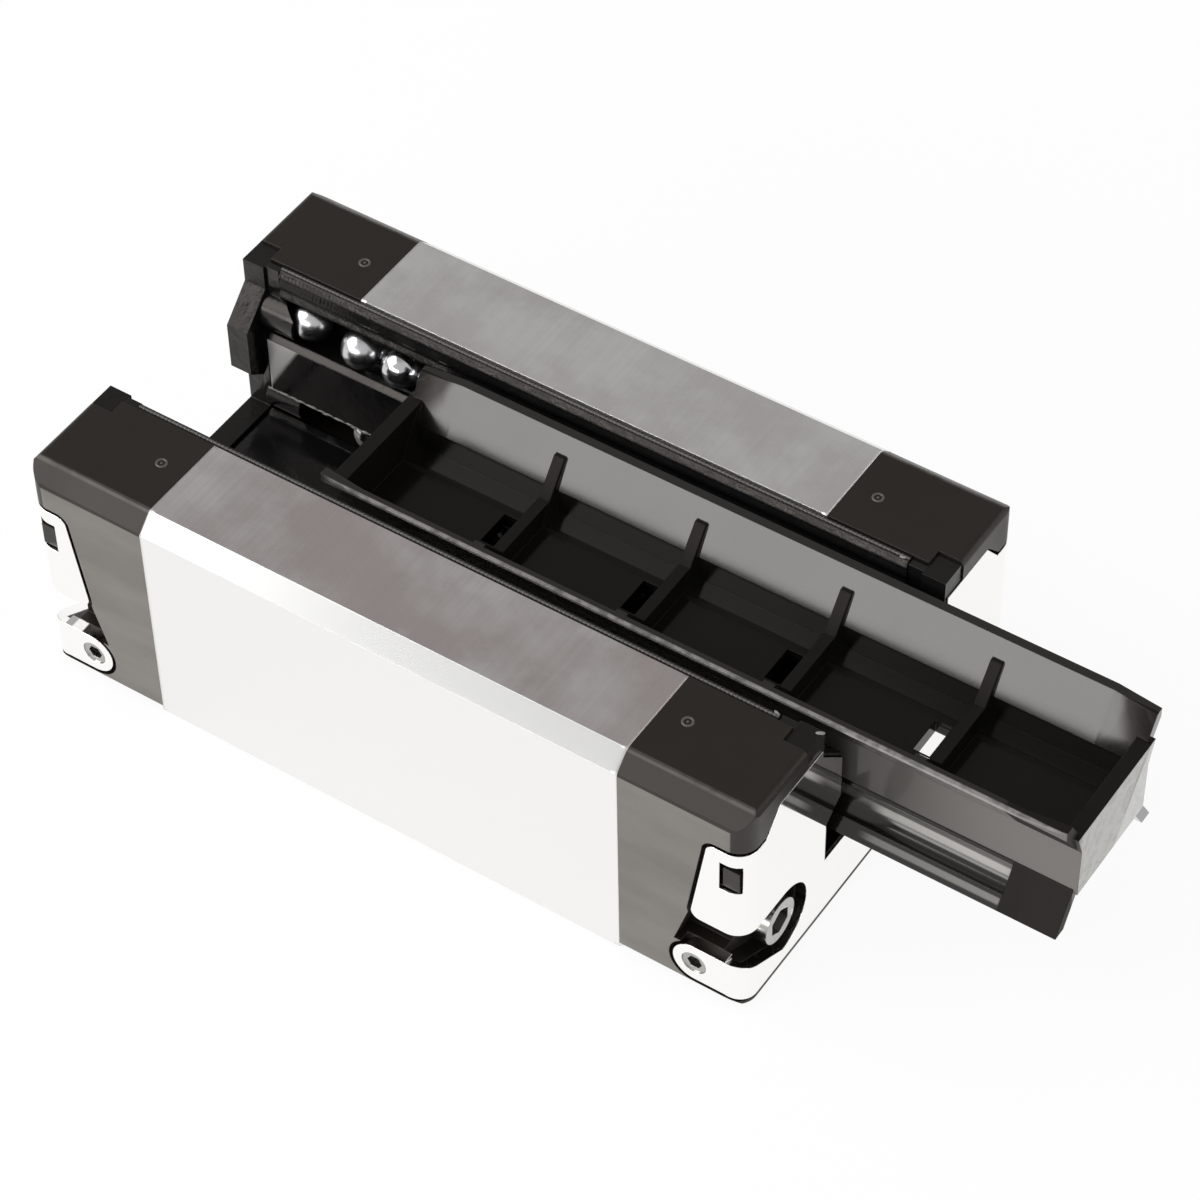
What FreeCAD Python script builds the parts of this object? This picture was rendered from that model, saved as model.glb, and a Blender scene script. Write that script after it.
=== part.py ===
"""Recirculating ball runner block with its mounting arbor, drawn from a sheet of driving sizes.

The block lies on its mounting face: X runs along the rail, Y across the two legs and Z up from
the mounting face to the leg tips. Front is +X, far is +Y.
"""
import FreeCAD
import Part
import math
import os
import Sketcher
from types import SimpleNamespace
from FreeCAD import Rotation, Vector

# Driving sizes in millimetres: name, value, meaning
DIMENSIONS = [
    ("block_width", 44.0, "over both legs"),
    ("block_length", 75.0, "over both cover plates"),
    ("block_height", 25.35, "mounting face to leg tips"),
    ("steel_length", 49.6, "steel body between the end caps"),
    ("edge_chamfer", 1.7, "outer edge of each leg tip"),
    ("foot_chamfer", 0.6, "edges of the mounting face"),
    ("slot_width", 26.4, "slot behind the raceways"),
    ("slot_floor", 6.7, "slot bottom above the mounting face"),
    ("leg_gap", 22.0, "clear width between the leg tips"),
    ("toe_foot", 22.4, "underside of the leg toes"),
    ("hole_pitch_x", 36.0, "mounting threads along the rail"),
    ("hole_pitch_y", 32.0, "mounting threads across the rail"),
    ("hole_diameter", 4.2, "core of the mounting threads"),
    ("hole_depth", 7.5, "mounting threads"),
    ("ball_diameter", 3.969, "rolling balls"),
    ("track_spacing", 20.8, "between the loaded rows of both legs"),
    ("lower_track", 9.5, "height of the row by the slot floor"),
    ("upper_track", 19.8, "height of the row by the leg tips"),
    ("track_clearance", 0.05, "ball to raceway groove"),
    ("raceway_depth", 2.6, "raceway edge past the row it carries"),
    ("return_spacing", 33.8, "between the return bores of both legs"),
    ("lower_return", 11.2, "height of the lower return bore"),
    ("upper_return", 17.9, "height of the upper return bore"),
    ("channel_clearance", 0.15, "ball to return channel"),
    ("turn_wall", 0.1, "end of the ball turn to the back plate of its guide"),
    ("retainer_width", 16.8, "between the faces of both ball retainers"),
    ("retainer_gap", 0.25, "retainer edge to ball"),
    ("retainer_bevel", 0.5, "bevel along the upper inner edge of a retainer"),
    ("liner_thickness", 0.9, "plastic liner on the slot floor"),
    ("guide_back", 0.7, "back plate of the return guides"),
    ("nose_length", 3.8, "deflector noses of the return guides"),
    ("horn_half", 10.1, "half gap between the guide horns at the leg tips"),
    ("strip_height", 2.8, "longitudinal seal strip above the toe foot"),
    ("strip_reach", 1.1, "seal strip into the slot"),
    ("cap_foot", 0.5, "end caps above the mounting face"),
    ("cap_corner", 2.0, "upright corner radius of the end caps"),
    ("cap_soft", 1.4, "radius on both edges of the chamfer of the end caps"),
    ("cap_brow", 0.7, "radius of the upper end edge of the end caps"),
    ("fit_gap", 0.1, "play of moulded parts in their pockets"),
    ("plate_thickness", 1.2, "stainless cover plate"),
    ("plate_top", 23.0, "upper edge of the cover plate"),
    ("plate_foot", 0.95, "lower edge of the cover plate"),
    ("shoulder_top", 16.9, "half width of the plate at its upper edge"),
    ("shoulder_foot", 18.9, "half width where the shoulder meets the tab"),
    ("tab_top", 20.5, "upper edge of the side tab"),
    ("tab_foot", 10.0, "lower edge of the side tab"),
    ("tab_reach", 5.4, "side tab from the block end"),
    ("tab_lean", 1.4, "lean of the tab edge"),
    ("tab_corner", 0.9, "corner radius of the side tab"),
    ("sheet_gap", 0.4, "open joint round the free edges of tab and ear"),
    ("band_top", 5.8, "upper edge of the side band with the ear"),
    ("ear_foot", 1.5, "lower edge of the side band with the ear"),
    ("ear_reach", 7.2, "ear from the block end"),
    ("window_inset", 1.65, "middle of the tab window from the block end"),
    ("window_width", 2.0, "tab window"),
    ("window_foot", 15.6, "lower edge of the tab window"),
    ("window_height", 3.4, "tab window"),
    ("hook_height", 0.9, "snap hook in the tab window"),
    ("groove_depth", 2.4, "cap groove between side tab and ear"),
    ("recess_radius", 3.8, "clearance round the end screw head"),
    ("recess_depth", 2.8, "seat of the end screw below the plate face"),
    ("seal_thickness", 1.3, "end seal behind the cover plate"),
    ("seal_top", 25.05, "upper edge of the end seal"),
    ("seal_foot", 5.2, "lower edge of the end seal"),
    ("seal_shoulder", 12.6, "half width of the end seal at the top"),
    ("seal_half", 11.8, "half width of the end seal below"),
    ("seal_step", 13.0, "height of the step in the seal edge"),
    ("mouth_half", 9.8, "half gap of the seal lip at the leg tips"),
    ("mouth_foot", 22.4, "height where the lip starts to close in"),
    ("waist_half", 6.6, "half gap of the seal lip at the rail waist"),
    ("waist_top", 19.2, "upper end of the narrow lip"),
    ("waist_foot", 14.0, "lower end of the narrow lip"),
    ("head_half", 8.9, "half gap of the seal lip at the rail head"),
    ("head_height", 12.2, "height where the rail head starts"),
    ("lip_floor", 8.0, "seal lip under the rail top"),
    ("lip_gap", 0.35, "seal lip past the cover plate"),
    ("rim_inset", 0.15, "rim of the end seal below the plate face"),
    ("end_screw_y", 15.9, "end screws from the middle"),
    ("end_screw_z", 6.2, "end screws above the mounting face"),
    ("end_head_diameter", 4.5, "end screw head"),
    ("end_head_height", 2.5, "end screw head"),
    ("end_socket", 2.5, "hexagon of the end screw across flats"),
    ("end_bite", 3.6, "end screw thread in the steel body"),
    ("thread_core", 2.46, "core of the small screws"),
    ("thread_gap", 0.04, "tapped hole over the thread core"),
    ("shank_gap", 0.74, "clearance hole over the thread core"),
    ("port_x", 5.1, "side lubrication port from the block end"),
    ("port_z", 3.6, "lubrication ports above the mounting face"),
    ("plug_length", 3.6, "set screw in a lubrication port"),
    ("plug_inset", 0.15, "set screw below its face"),
    ("plug_socket", 1.3, "hexagon of a set screw across flats"),
    ("lead_past", 1.8, "outermost bare ball past the centre of the ball turn"),
    ("lead_spacing", 6.0, "outermost to second bare ball along the rail"),
    ("bare_spacing", 4.5, "second to third bare ball along the rail"),
    ("arbor_length", 75.5, "mounting arbor over its end walls"),
    ("arbor_out", 21.85, "arbor drawn out to the front"),
    ("lip_setback", 0.4, "arbor lips short of the end walls"),
    ("lip_width", 16.9, "arbor over its upper lips"),
    ("lip_top", 24.5, "upper edge of the arbor lips"),
    ("lip_rim", 0.3, "upright rim on the arbor lips"),
    ("lip_wall", 0.87, "arbor lip thickness at the top"),
    ("lead_length", 4.7, "lead-in taper of the arbor lips"),
    ("lead_depth", 0.5, "lead-in taper of the arbor lips"),
    ("neck_width", 11.3, "arbor over its side walls"),
    ("neck_wall", 0.9, "arbor side wall"),
    ("neck_top", 19.9, "height where the arbor lips start"),
    ("floor_top", 17.7, "upper face of the arbor floor"),
    ("floor_thickness", 1.5, "arbor floor"),
    ("skirt_width", 16.3, "arbor over its skirts"),
    ("skirt_wall", 1.35, "arbor skirt, measured level"),
    ("skirt_top", 14.8, "height where the arbor skirts start"),
    ("skirt_foot", 10.7, "lower edge of the arbor skirts"),
    ("flute_radius", 1.75, "flute along the outside of each skirt"),
    ("flute_depth", 0.72, "flute along the outside of each skirt"),
    ("flute_end", 6.0, "flute short of the arbor end"),
    ("end_wall", 1.4, "arbor end wall"),
    ("end_wall_top", 22.3, "upper edge of the arbor end walls"),
    ("end_wall_foot", 14.3, "lower edge of the arbor end walls"),
    ("rib_pitch", 14.8, "cross ribs of the arbor"),
    ("rib_shift", 0.5, "middle of the ribs from the arbor middle"),
    ("rib_thickness", 1.1, "cross ribs of the arbor"),
    ("rib_top", 19.8, "upper edge of the cross ribs"),
    ("gusset_top", 23.0, "tip of the rib gussets"),
    ("slot_hole_gap", 1.5, "hole in the arbor floor from its rib"),
    ("slot_hole_width", 1.6, "hole in the arbor floor along X"),
    ("slot_hole_length", 3.8, "hole in the arbor floor along Y"),
]

END = {1: "front", -1: "rear"}
SIDE = {1: "far", -1: "near"}
LEVEL = {1: "upper", -1: "lower"}
OVER = 1.0  # how far a cutting outline runs past the face it cuts
RIB_COUNT = 4  # cross ribs of the arbor
# Shares of the ball radius
GROOVE_SHARE = 0.6  # how far a raceway groove reaches round its balls
BRIDGE_SHARE = 0.9  # from a row's middle to the bridge of the return guide
HORN_SHARE = 0.7  # from the upper row's middle to the foot of the guide horn
# Other shares
HOOK_SHARE = 0.75  # of the tab window's height, top of the snap hook
HEAD_SOCKET_SHARE = 0.7  # of the head of an end screw, depth of its socket
PLUG_SOCKET_SHARE = 0.4  # of the length of a set screw, depth of its socket
FLUTE_SHARE = 0.38  # of the skirt, from its upper edge to the middle of its flute
# Degrees from straight up or down at which an edge follows its row of balls
RETAINER_START_ANGLE = 10
RETAINER_STOP_ANGLE = 40
LINER_START_ANGLE = 30
LINER_STOP_ANGLE = 42
# Section of a seal strip, in shares of its reach into the slot and of its height
STRIP_SHARES = [(0, 1), (0.65, 1), (1, 0.78), (0.8, 0.64), (1, 0.42), (0.85, 0.2), (1.15, 0), (0.75, -0.1),
                (0, 0.03)]


class Size:
    """A length together with the sheet formula that gives it."""

    def __init__(self, value, formula):
        self.value = value
        self.formula = formula

    def __add__(self, other):
        other = size(other)
        return Size(self.value + other.value, f"({self.formula} + {other.formula})")

    def __sub__(self, other):
        other = size(other)
        return Size(self.value - other.value, f"({self.formula} - {other.formula})")

    def __mul__(self, other):
        other = size(other)
        return Size(self.value * other.value, f"({self.formula} * {other.formula})")

    def __truediv__(self, other):
        other = size(other)
        return Size(self.value / other.value, f"({self.formula} / {other.formula})")

    def __neg__(self):
        return Size(-self.value, f"(-{self.formula})")

    __radd__ = __add__
    __rmul__ = __mul__


def size(number):
    """A plain number as a Size, so that both can stand in one formula."""
    return number if isinstance(number, Size) else Size(float(number), repr(float(number)))


def root(square):
    """Square root of a Size."""
    return Size(math.sqrt(square.value), f"sqrt({square.formula})")


def bind(item, path, amount):
    """Tie a property of a document object to its formula."""
    item.setExpression(path, size(amount).formula)


doc = FreeCAD.newDocument("RunnerBlock")
sheet = doc.addObject("Spreadsheet::Sheet", "Dims")
for row, (alias, number, meaning) in enumerate(DIMENSIONS, start=1):
    sheet.set(f"A{row}", meaning)
    sheet.set(f"B{row}", str(number))
    sheet.setAlias(f"B{row}", alias)
doc.recompute()
D = SimpleNamespace(**{alias: Size(number, f"Dims.{alias}") for alias, number, _ in DIMENSIONS})

half_width = D.block_width / 2
block_end = D.block_length / 2
steel_end = D.steel_length / 2
plate_seat = block_end - D.plate_thickness
seal_seat = plate_seat - D.seal_thickness
slot_half = D.slot_width / 2
leg_half = D.leg_gap / 2
track_y = D.track_spacing / 2
return_y = D.return_spacing / 2
ball_radius = D.ball_diameter / 2
channel_radius = ball_radius + D.channel_clearance
turn_y = (track_y + return_y) / 2
turn_radius = (return_y - track_y) / 2
turn_reach = turn_radius + channel_radius
turn_x = seal_seat - D.guide_back - D.turn_wall - turn_reach
groove_lip = track_y + ball_radius * GROOVE_SHARE
keep_radius = ball_radius + D.retainer_gap
horn_length = D.seal_thickness + D.fit_gap * 2
tapped_radius = (D.thread_core + D.thread_gap) / 2
TRACK_Z = {1: D.upper_track, -1: D.lower_track}
RETURN_Z = {1: D.upper_return, -1: D.lower_return}


def new_body(label):
    """Empty body whose label is the name of the node."""
    body = doc.addObject("PartDesign::Body", "Body")
    body.Label = label
    return body


def add_loop(sketch, corners):
    """Closed outline through corners (u, v), or (u, v, (cu, cv, turn)) where an arc leads on."""
    first = sketch.GeometryCount
    count = len(corners)
    spots = [(size(corner[0]), size(corner[1])) for corner in corners]
    points = [Vector(u.value, v.value, 0) for u, v in spots]
    edges = []
    ends = []
    for index, corner in enumerate(corners):
        here, there = points[index], points[(index + 1) % count]
        if len(corner) == 2:
            edges.append(Part.LineSegment(here, there))
            ends.append((1, 2))
            continue
        middle = Vector(size(corner[2][0]).value, size(corner[2][1]).value, 0)
        start, stop = (here, there) if corner[2][2] > 0 else (there, here)
        angles = [math.atan2(point.y - middle.y, point.x - middle.x) for point in (start, stop)]
        circle = Part.Circle(middle, Vector(0, 0, 1), (here - middle).Length)
        edges.append(Part.ArcOfCircle(circle, angles[0], angles[1]))
        ends.append((1, 2) if corner[2][2] > 0 else (2, 1))
    sketch.addGeometry(edges, False)
    rules = []
    for index in range(count):
        following = (index + 1) % count
        rules.append(("Coincident", first + index, ends[index][1], first + following, ends[following][0]))
    for index, corner in enumerate(corners):
        before = corners[index - 1]
        place = (first + index, ends[index][0])
        along_u = along_v = True
        if len(before) == 3:
            # The end of an arc already lies on its circle, so one measure is enough
            offset = points[index] - Vector(size(before[2][0]).value, size(before[2][1]).value, 0)
            along_u = abs(offset.y) > abs(offset.x)
            along_v = not along_u
        if along_u:
            rules.append(("DistanceX", -1, 1, *place, spots[index][0]))
        if along_v:
            rules.append(("DistanceY", -1, 1, *place, spots[index][1]))
        if len(corner) == 3:
            rules.append(("DistanceX", -1, 1, first + index, 3, size(corner[2][0])))
            rules.append(("DistanceY", -1, 1, first + index, 3, size(corner[2][1])))
    add_rules(sketch, rules)


def add_circle(sketch, u, v, radius):
    """Circle tied to its centre and radius."""
    u, v, radius = size(u), size(v), size(radius)
    geometry = sketch.GeometryCount
    sketch.addGeometry(Part.Circle(Vector(u.value, v.value, 0), Vector(0, 0, 1), radius.value), False)
    add_rules(sketch, [("DistanceX", -1, 1, geometry, 3, u), ("DistanceY", -1, 1, geometry, 3, v),
                       ("Radius", geometry, radius)])


def add_rules(sketch, rules):
    """Add constraints and tie each measured one to its formula."""
    plain = [[part.value if isinstance(part, Size) else part for part in rule] for rule in rules]
    numbers = sketch.addConstraint([Sketcher.Constraint(*rule) for rule in plain])
    for number, rule in zip(numbers, rules):
        if isinstance(rule[-1], Size):
            bind(sketch, f"Constraints[{number}]", rule[-1])


def draw(body, plane, at, loops=(), circles=()):
    """Sketch on an origin plane of the body, moved along the plane's normal."""
    sketch = body.newObject("Sketcher::SketchObject", "Sketch")
    support = next(item for item in body.Origin.OriginFeatures if item.Role == plane + "_Plane")
    sketch.AttachmentSupport = [(support, "")]
    sketch.MapMode = "FlatFace"
    bind(sketch, "AttachmentOffset.Base.z", at)
    for loop in loops:
        add_loop(sketch, loop)
    for circle in circles:
        add_circle(sketch, *circle)
    return sketch


def shape_feature(kind, body, sketch, length, flipped, both):
    """Pad or pocket of a sketch."""
    feature = body.newObject("PartDesign::" + kind, kind)
    feature.Profile = sketch
    feature.SideType = "Symmetric" if both else "One side"
    feature.Reversed = flipped
    bind(feature, "Length", length)
    return feature


def pad(body, sketch, length, flipped=False, both=False):
    """Material along the sketch normal, or against it when flipped."""
    return shape_feature("Pad", body, sketch, length, flipped, both)


def pocket(body, sketch, length, flipped=False, both=False):
    """Cut against the sketch normal, or along it when flipped."""
    return shape_feature("Pocket", body, sketch, length, flipped, both)


def loft(body, first, last):
    """Material that runs straight from one sketch to another."""
    feature = body.newObject("PartDesign::AdditiveLoft", "Loft")
    feature.Profile = first
    feature.Sections = [last]
    feature.Ruled = True
    return feature


def side_pocket(body, side, loops, depth, circles=()):
    """Cut into one side face of the block."""
    return pocket(body, draw(body, "XZ", -half_width * side, loops, circles), depth, flipped=side > 0)


def end_pocket(body, end, loops, depth, circles=()):
    """Cut into one end face of the block."""
    return pocket(body, draw(body, "YZ", block_end * end, loops, circles), depth, flipped=end < 0)


def mirrored(half):
    """Closed outline from its half at positive u, where an arc may lead on inside the half."""
    other = []
    for index in reversed(range(len(half))):
        spot = (-size(half[index][0]), half[index][1])
        if index and len(half[index - 1]) == 3:
            u, v, turn = half[index - 1][2]
            spot += ((-size(u), v, turn),)
        other.append(spot)
    return list(half) + other


def rectangle(left, right, low, high):
    """Corners of a rectangle."""
    return [(left, low), (right, low), (right, high), (left, high)]


def outer_corner(u, v, radius, along_u, along_v):
    """What a radius takes off a corner at (u, v) whose outside lies along both signs."""
    turn = -along_u * along_v
    past_u, past_v = (u + OVER) * along_u, (v + OVER) * along_v
    from_u, from_v = (u - radius) * along_u, (v - radius) * along_v
    return [(from_u, v * along_v, (from_u, from_v, turn)), (u * along_u, from_v), (past_u, from_v),
            (past_u, past_v), (from_u, past_v)]


def leg_tip():
    """Chamfered outer edge of a leg tip."""
    return [(half_width, D.block_height - D.edge_chamfer), (half_width - D.edge_chamfer, D.block_height)]


def soft_leg_tip():
    """Outer edge of a leg tip with both edges of its chamfer rounded."""
    radius = D.cap_soft
    back = radius * math.tan(math.radians(22.5))
    slant = back * math.sqrt(0.5)
    low = D.block_height - D.edge_chamfer
    inset = half_width - D.edge_chamfer
    return [(half_width, low - back, (half_width - radius, low - back, 1)), (half_width - slant, low + slant),
            (inset + slant, D.block_height - slant, (inset - back, D.block_height - radius, 1)),
            (inset - back, D.block_height)]


def block_outline(foot, tip, inner):
    """Half section of the block above a foot height: outside, leg tip and the points of its slot."""
    return [(half_width - D.foot_chamfer, foot), (half_width, foot + D.foot_chamfer)] + tip + inner


def slot_outline():
    """Half section of the slot that holds raceways, retainers and ball guides."""
    return [(leg_half, D.block_height), (leg_half, D.toe_foot), (slot_half, D.toe_foot),
            (slot_half, D.slot_floor)]


def runner_body():
    """Steel body with slot, return bores, mounting threads and end screw threads."""
    body = new_body("runner_body")
    profile = draw(body, "YZ", 0, [mirrored(block_outline(size(0), leg_tip(), slot_outline()))])
    pad(body, profile, D.steel_length, both=True)
    bores = [(return_y * side, RETURN_Z[level], channel_radius) for side in SIDE for level in LEVEL]
    pocket(body, draw(body, "YZ", 0, circles=bores), D.steel_length + OVER, both=True)
    holes = [(D.hole_pitch_x / 2 * end, D.hole_pitch_y / 2 * side, D.hole_diameter / 2)
             for end in END for side in SIDE]
    pocket(body, draw(body, "XY", 0, circles=holes), D.hole_depth, flipped=True)
    for end in END:
        taps = [(D.end_screw_y * side, D.end_screw_z, tapped_radius) for side in SIDE]
        face = draw(body, "YZ", steel_end * end, circles=taps)
        pocket(body, face, D.end_bite + D.fit_gap * 2, flipped=end < 0)


def raceway(side, level):
    """Hardened bar with the loaded ball groove."""
    body = new_body(f"raceway_{SIDE[side]}_{LEVEL[level]}")
    track = TRACK_Z[level]
    outer = D.toe_foot if level > 0 else D.slot_floor
    inner = track - D.raceway_depth * level
    groove = ball_radius + D.track_clearance
    tip_rise = root(groove * groove - (leg_half - track_y) * (leg_half - track_y))
    lip_rise = root(groove * groove - (groove_lip - track_y) * (groove_lip - track_y))
    outline = [(slot_half * side, inner), (slot_half * side, outer), (leg_half * side, outer),
               (leg_half * side, track + tip_rise * level, (track_y * side, track, -side * level)),
               (groove_lip * side, track - lip_rise * level), (groove_lip * side, inner)]
    pad(body, draw(body, "YZ", 0, [outline]), D.steel_length, both=True)


def round_row(level, away, degrees):
    """Point beside a row of balls, at the retainer gap and an angle from straight up or down."""
    angle = math.radians(degrees)
    return track_y - keep_radius * math.sin(angle), TRACK_Z[level] + keep_radius * (math.cos(angle) * away)


def ball_retainer(side):
    """Plastic bar between the two rows of a leg that keeps the balls in."""
    body = new_body(f"ball_retainer_{SIDE[side]}")
    back = slot_half - D.fit_gap
    outline = []
    for level in (-1, 1):
        seat = TRACK_Z[level] - D.raceway_depth * level
        inward, foot = round_row(level, -level, RETAINER_STOP_ANGLE)
        rim = foot - D.retainer_bevel if level > 0 else foot
        edge = [(back, seat), (groove_lip, seat), round_row(level, -level, RETAINER_START_ANGLE),
                (inward, foot), (D.retainer_width / 2, rim)]
        outline += edge if level < 0 else reversed(edge)
    points = [(y * side, z) for y, z in outline]
    half_length = seal_seat - D.guide_back - D.fit_gap
    pad(body, draw(body, "YZ", 0, [points]), half_length * 2, both=True)


def slot_liner():
    """Plastic liner on the slot floor that keeps the lower rows in from below."""
    body = new_body("slot_liner")
    edge = round_row(-1, -1, LINER_START_ANGLE)
    half = [(edge[0], D.slot_floor), edge, round_row(-1, -1, LINER_STOP_ANGLE),
            (track_y - keep_radius, D.slot_floor + D.liner_thickness)]
    pad(body, draw(body, "YZ", 0, [mirrored(half)]), (seal_seat - D.fit_gap) * 2, both=True)


def seal_strip(side):
    """Rubber strip along the inner edge of a leg tip."""
    body = new_body(f"seal_strip_{SIDE[side]}")
    points = [((leg_half - D.strip_reach * inward) * side, D.toe_foot + D.strip_height * up)
              for inward, up in STRIP_SHARES]
    pad(body, draw(body, "YZ", 0, [points]), (seal_seat - horn_length - D.fit_gap) * 2, both=True)


def tab_edge(end, grow):
    """Rounded free edge of the side tab, from its foot to its top, grown outward."""
    low = block_end - D.tab_reach
    high = low + D.tab_lean
    corner = D.tab_corner
    return [((low + corner) * end, D.tab_foot - grow,
             ((low + corner) * end, D.tab_foot + corner, -end)),
            ((low - grow) * end, D.tab_foot + corner),
            ((high - grow) * end, D.tab_top - corner,
             ((high + corner) * end, D.tab_top - corner, -end)),
            ((high + corner) * end, D.tab_top + grow)]


def ear_edge(end, grow):
    """Round end of the ear, from its foot to its top, grown outward."""
    radius = (D.band_top - D.ear_foot) / 2
    middle = (block_end - D.ear_reach + radius) * end
    return [(middle, D.ear_foot - grow, (middle, D.ear_foot + radius, -end)),
            (middle, D.band_top + grow)]


def screw_recess(side):
    """Opening round an end screw that runs out to the side of the block."""
    y = D.end_screw_y * side
    edge = half_width * side
    past = (half_width + OVER) * side
    return [(y, D.end_screw_z - D.recess_radius), (edge, D.band_top), (past, D.band_top), (past, D.tab_foot),
            (edge, D.tab_foot), (y, D.end_screw_z + D.recess_radius, (y, D.end_screw_z, side))]


def slant_shift(gap, run, rise):
    """How far the ends of a slanting edge move in height when all edges move out by a gap."""
    return gap * (root(run * run + rise * rise) - rise) / run


def lip_outline(gap, top):
    """Half outline of the rail gap in the end seal, widened evenly by a gap."""
    upper = slant_shift(gap, D.mouth_half - D.waist_half, D.mouth_foot - D.waist_top)
    lower = slant_shift(gap, D.head_half - D.waist_half, D.waist_foot - D.head_height)
    return [(D.mouth_half + gap, top), (D.mouth_half + gap, D.mouth_foot - upper),
            (D.waist_half + gap, D.waist_top - upper), (D.waist_half + gap, D.waist_foot + lower),
            (D.head_half + gap, D.head_height + lower), (D.head_half + gap, D.lip_floor - gap)]


def seal_edge():
    """Half outline of the end seal where it sits in the cap, from the top down."""
    return [(D.seal_shoulder, D.seal_step), (D.seal_half, D.seal_step), (D.seal_half, D.seal_foot)]


def turn_span(level):
    """Foot and height of the ball turn in an end cap."""
    rise = (TRACK_Z[level] - RETURN_Z[level]) / 2
    low = RETURN_Z[level] - channel_radius + (rise if level < 0 else 0)
    return low, channel_radius * 2 + rise * level


def end_cap(end):
    """Moulded cap with ball turns, screw recesses and seats for seal and cover plate."""
    body = new_body(f"end_cap_{END[end]}")
    tip = soft_leg_tip()
    chest = draw(body, "YZ", steel_end * end, [mirrored(block_outline(D.cap_foot, tip, slot_outline()))])
    pad(body, chest, seal_seat - steel_end, flipped=end < 0)
    inner = [(D.seal_shoulder, D.block_height)] + seal_edge()
    head = draw(body, "YZ", seal_seat * end, [mirrored(block_outline(D.cap_foot, tip, inner))])
    pad(body, head, block_end - seal_seat, flipped=end < 0)
    corners = [outer_corner(block_end, half_width, D.cap_corner, end, side) for side in SIDE]
    pocket(body, draw(body, "XY", 0, corners), D.block_height + OVER, flipped=True)
    brow = outer_corner(block_end, D.block_height, D.cap_brow, end, 1)
    pocket(body, draw(body, "XZ", 0, [brow]), D.block_width + OVER, both=True)

    gap = D.fit_gap
    joint = D.sheet_gap
    past = half_width + OVER
    seat = [(past, D.plate_foot - gap), (past, D.tab_top + joint), (D.shoulder_foot + gap, D.tab_top + joint),
            (D.shoulder_top + gap, D.plate_top + gap)]
    end_pocket(body, end, [mirrored(seat)], D.plate_thickness)
    end_pocket(body, end, [screw_recess(side) for side in SIDE], D.recess_depth)
    holes = [(D.end_screw_y * side, D.end_screw_z, (D.thread_core + D.shank_gap) / 2) for side in SIDE]
    end_pocket(body, end, [], block_end - steel_end + OVER, holes)
    port_depth = D.plug_length + D.plug_inset + gap * 3
    end_pocket(body, end, [], port_depth, [(0, D.port_z, tapped_radius)])

    beyond = (block_end + OVER) * end
    low = block_end - D.ear_reach
    tab_seat = [(beyond, D.tab_foot - joint)] + tab_edge(end, joint) + [(beyond, D.tab_top + joint)]
    bend = (block_end - D.cap_corner) * end
    ear_seat = [(beyond, D.plate_foot - gap), (block_end * end, D.plate_foot - gap), (bend, D.ear_foot - joint)]
    ear_seat += ear_edge(end, joint) + [(beyond, D.band_top + joint)]
    groove = [(beyond, D.band_top), ((low + gap) * end, D.band_top),
              ((block_end - D.tab_reach - gap) * end, D.tab_foot + D.tab_corner), (beyond, D.tab_foot)]
    hook_x = block_end - D.window_inset
    hook_half = D.window_width / 2 - gap * 2
    for side in SIDE:
        side_pocket(body, side, [tab_seat], D.plate_thickness)
        side_pocket(body, side, [ear_seat], D.plate_thickness)
        side_pocket(body, side, [groove], D.groove_depth)
        side_pocket(body, side, [], port_depth, [((block_end - D.port_x) * end, D.port_z, tapped_radius)])
        hook = rectangle((hook_x - hook_half) * end, (hook_x + hook_half) * end, D.window_foot + gap * 2,
                         D.window_foot + D.window_height * HOOK_SHARE)
        floor = draw(body, "XZ", (D.plate_thickness - half_width) * side, [hook])
        pad(body, floor, D.hook_height, flipped=side > 0)

    for level in LEVEL:
        low_z, height = turn_span(level)
        turns = []
        for side in SIDE:
            inward, outward = (turn_y - turn_reach) * side, (turn_y + turn_reach) * side
            bend = (turn_x * end, turn_y * side, side * end)
            turns.append([(steel_end * end, inward), (turn_x * end, inward, bend), (turn_x * end, outward),
                          (steel_end * end, outward)])
        pocket(body, draw(body, "XY", low_z, turns), height, flipped=True)


def return_guide(end, side):
    """Deflector noses that scoop the balls of both rows out of the slot, on one back plate."""
    body = new_body(f"return_guide_{END[end]}_{SIDE[side]}")
    gap = D.fit_gap
    back = slot_half - gap
    plate = rectangle((track_y + gap) * side, back * side, D.slot_floor + gap, D.toe_foot - gap)
    pad(body, draw(body, "YZ", seal_seat * end, [plate]), D.guide_back, flipped=end > 0)
    bridge = rectangle(D.retainer_width / 2 * side, back * side, D.lower_track + ball_radius * BRIDGE_SHARE,
                       D.upper_track - ball_radius * BRIDGE_SHARE)
    pad(body, draw(body, "YZ", seal_seat * end, [bridge]), D.guide_back, flipped=end > 0)
    noses = []
    for level in LEVEL:
        track = TRACK_Z[level]
        noses.append([(back * side, track + ball_radius),
                      (track_y * side, track + ball_radius, (track_y * side, track, side)),
                      (track_y * side, track - ball_radius), (back * side, track - ball_radius)])
    pad(body, draw(body, "YZ", seal_seat * end, noses), D.nose_length, flipped=end > 0)
    horn_foot = D.upper_track + ball_radius * HORN_SHARE
    horn = rectangle(D.horn_half * side, (leg_half - gap) * side, horn_foot, D.seal_top)
    pad(body, draw(body, "YZ", seal_seat * end, [horn]), horn_length, flipped=end > 0)
    scoop = [(turn_x * end, turn_y * side, turn_reach)]
    pocket(body, draw(body, "XY", 0, circles=scoop), D.block_height, flipped=True)


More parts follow.
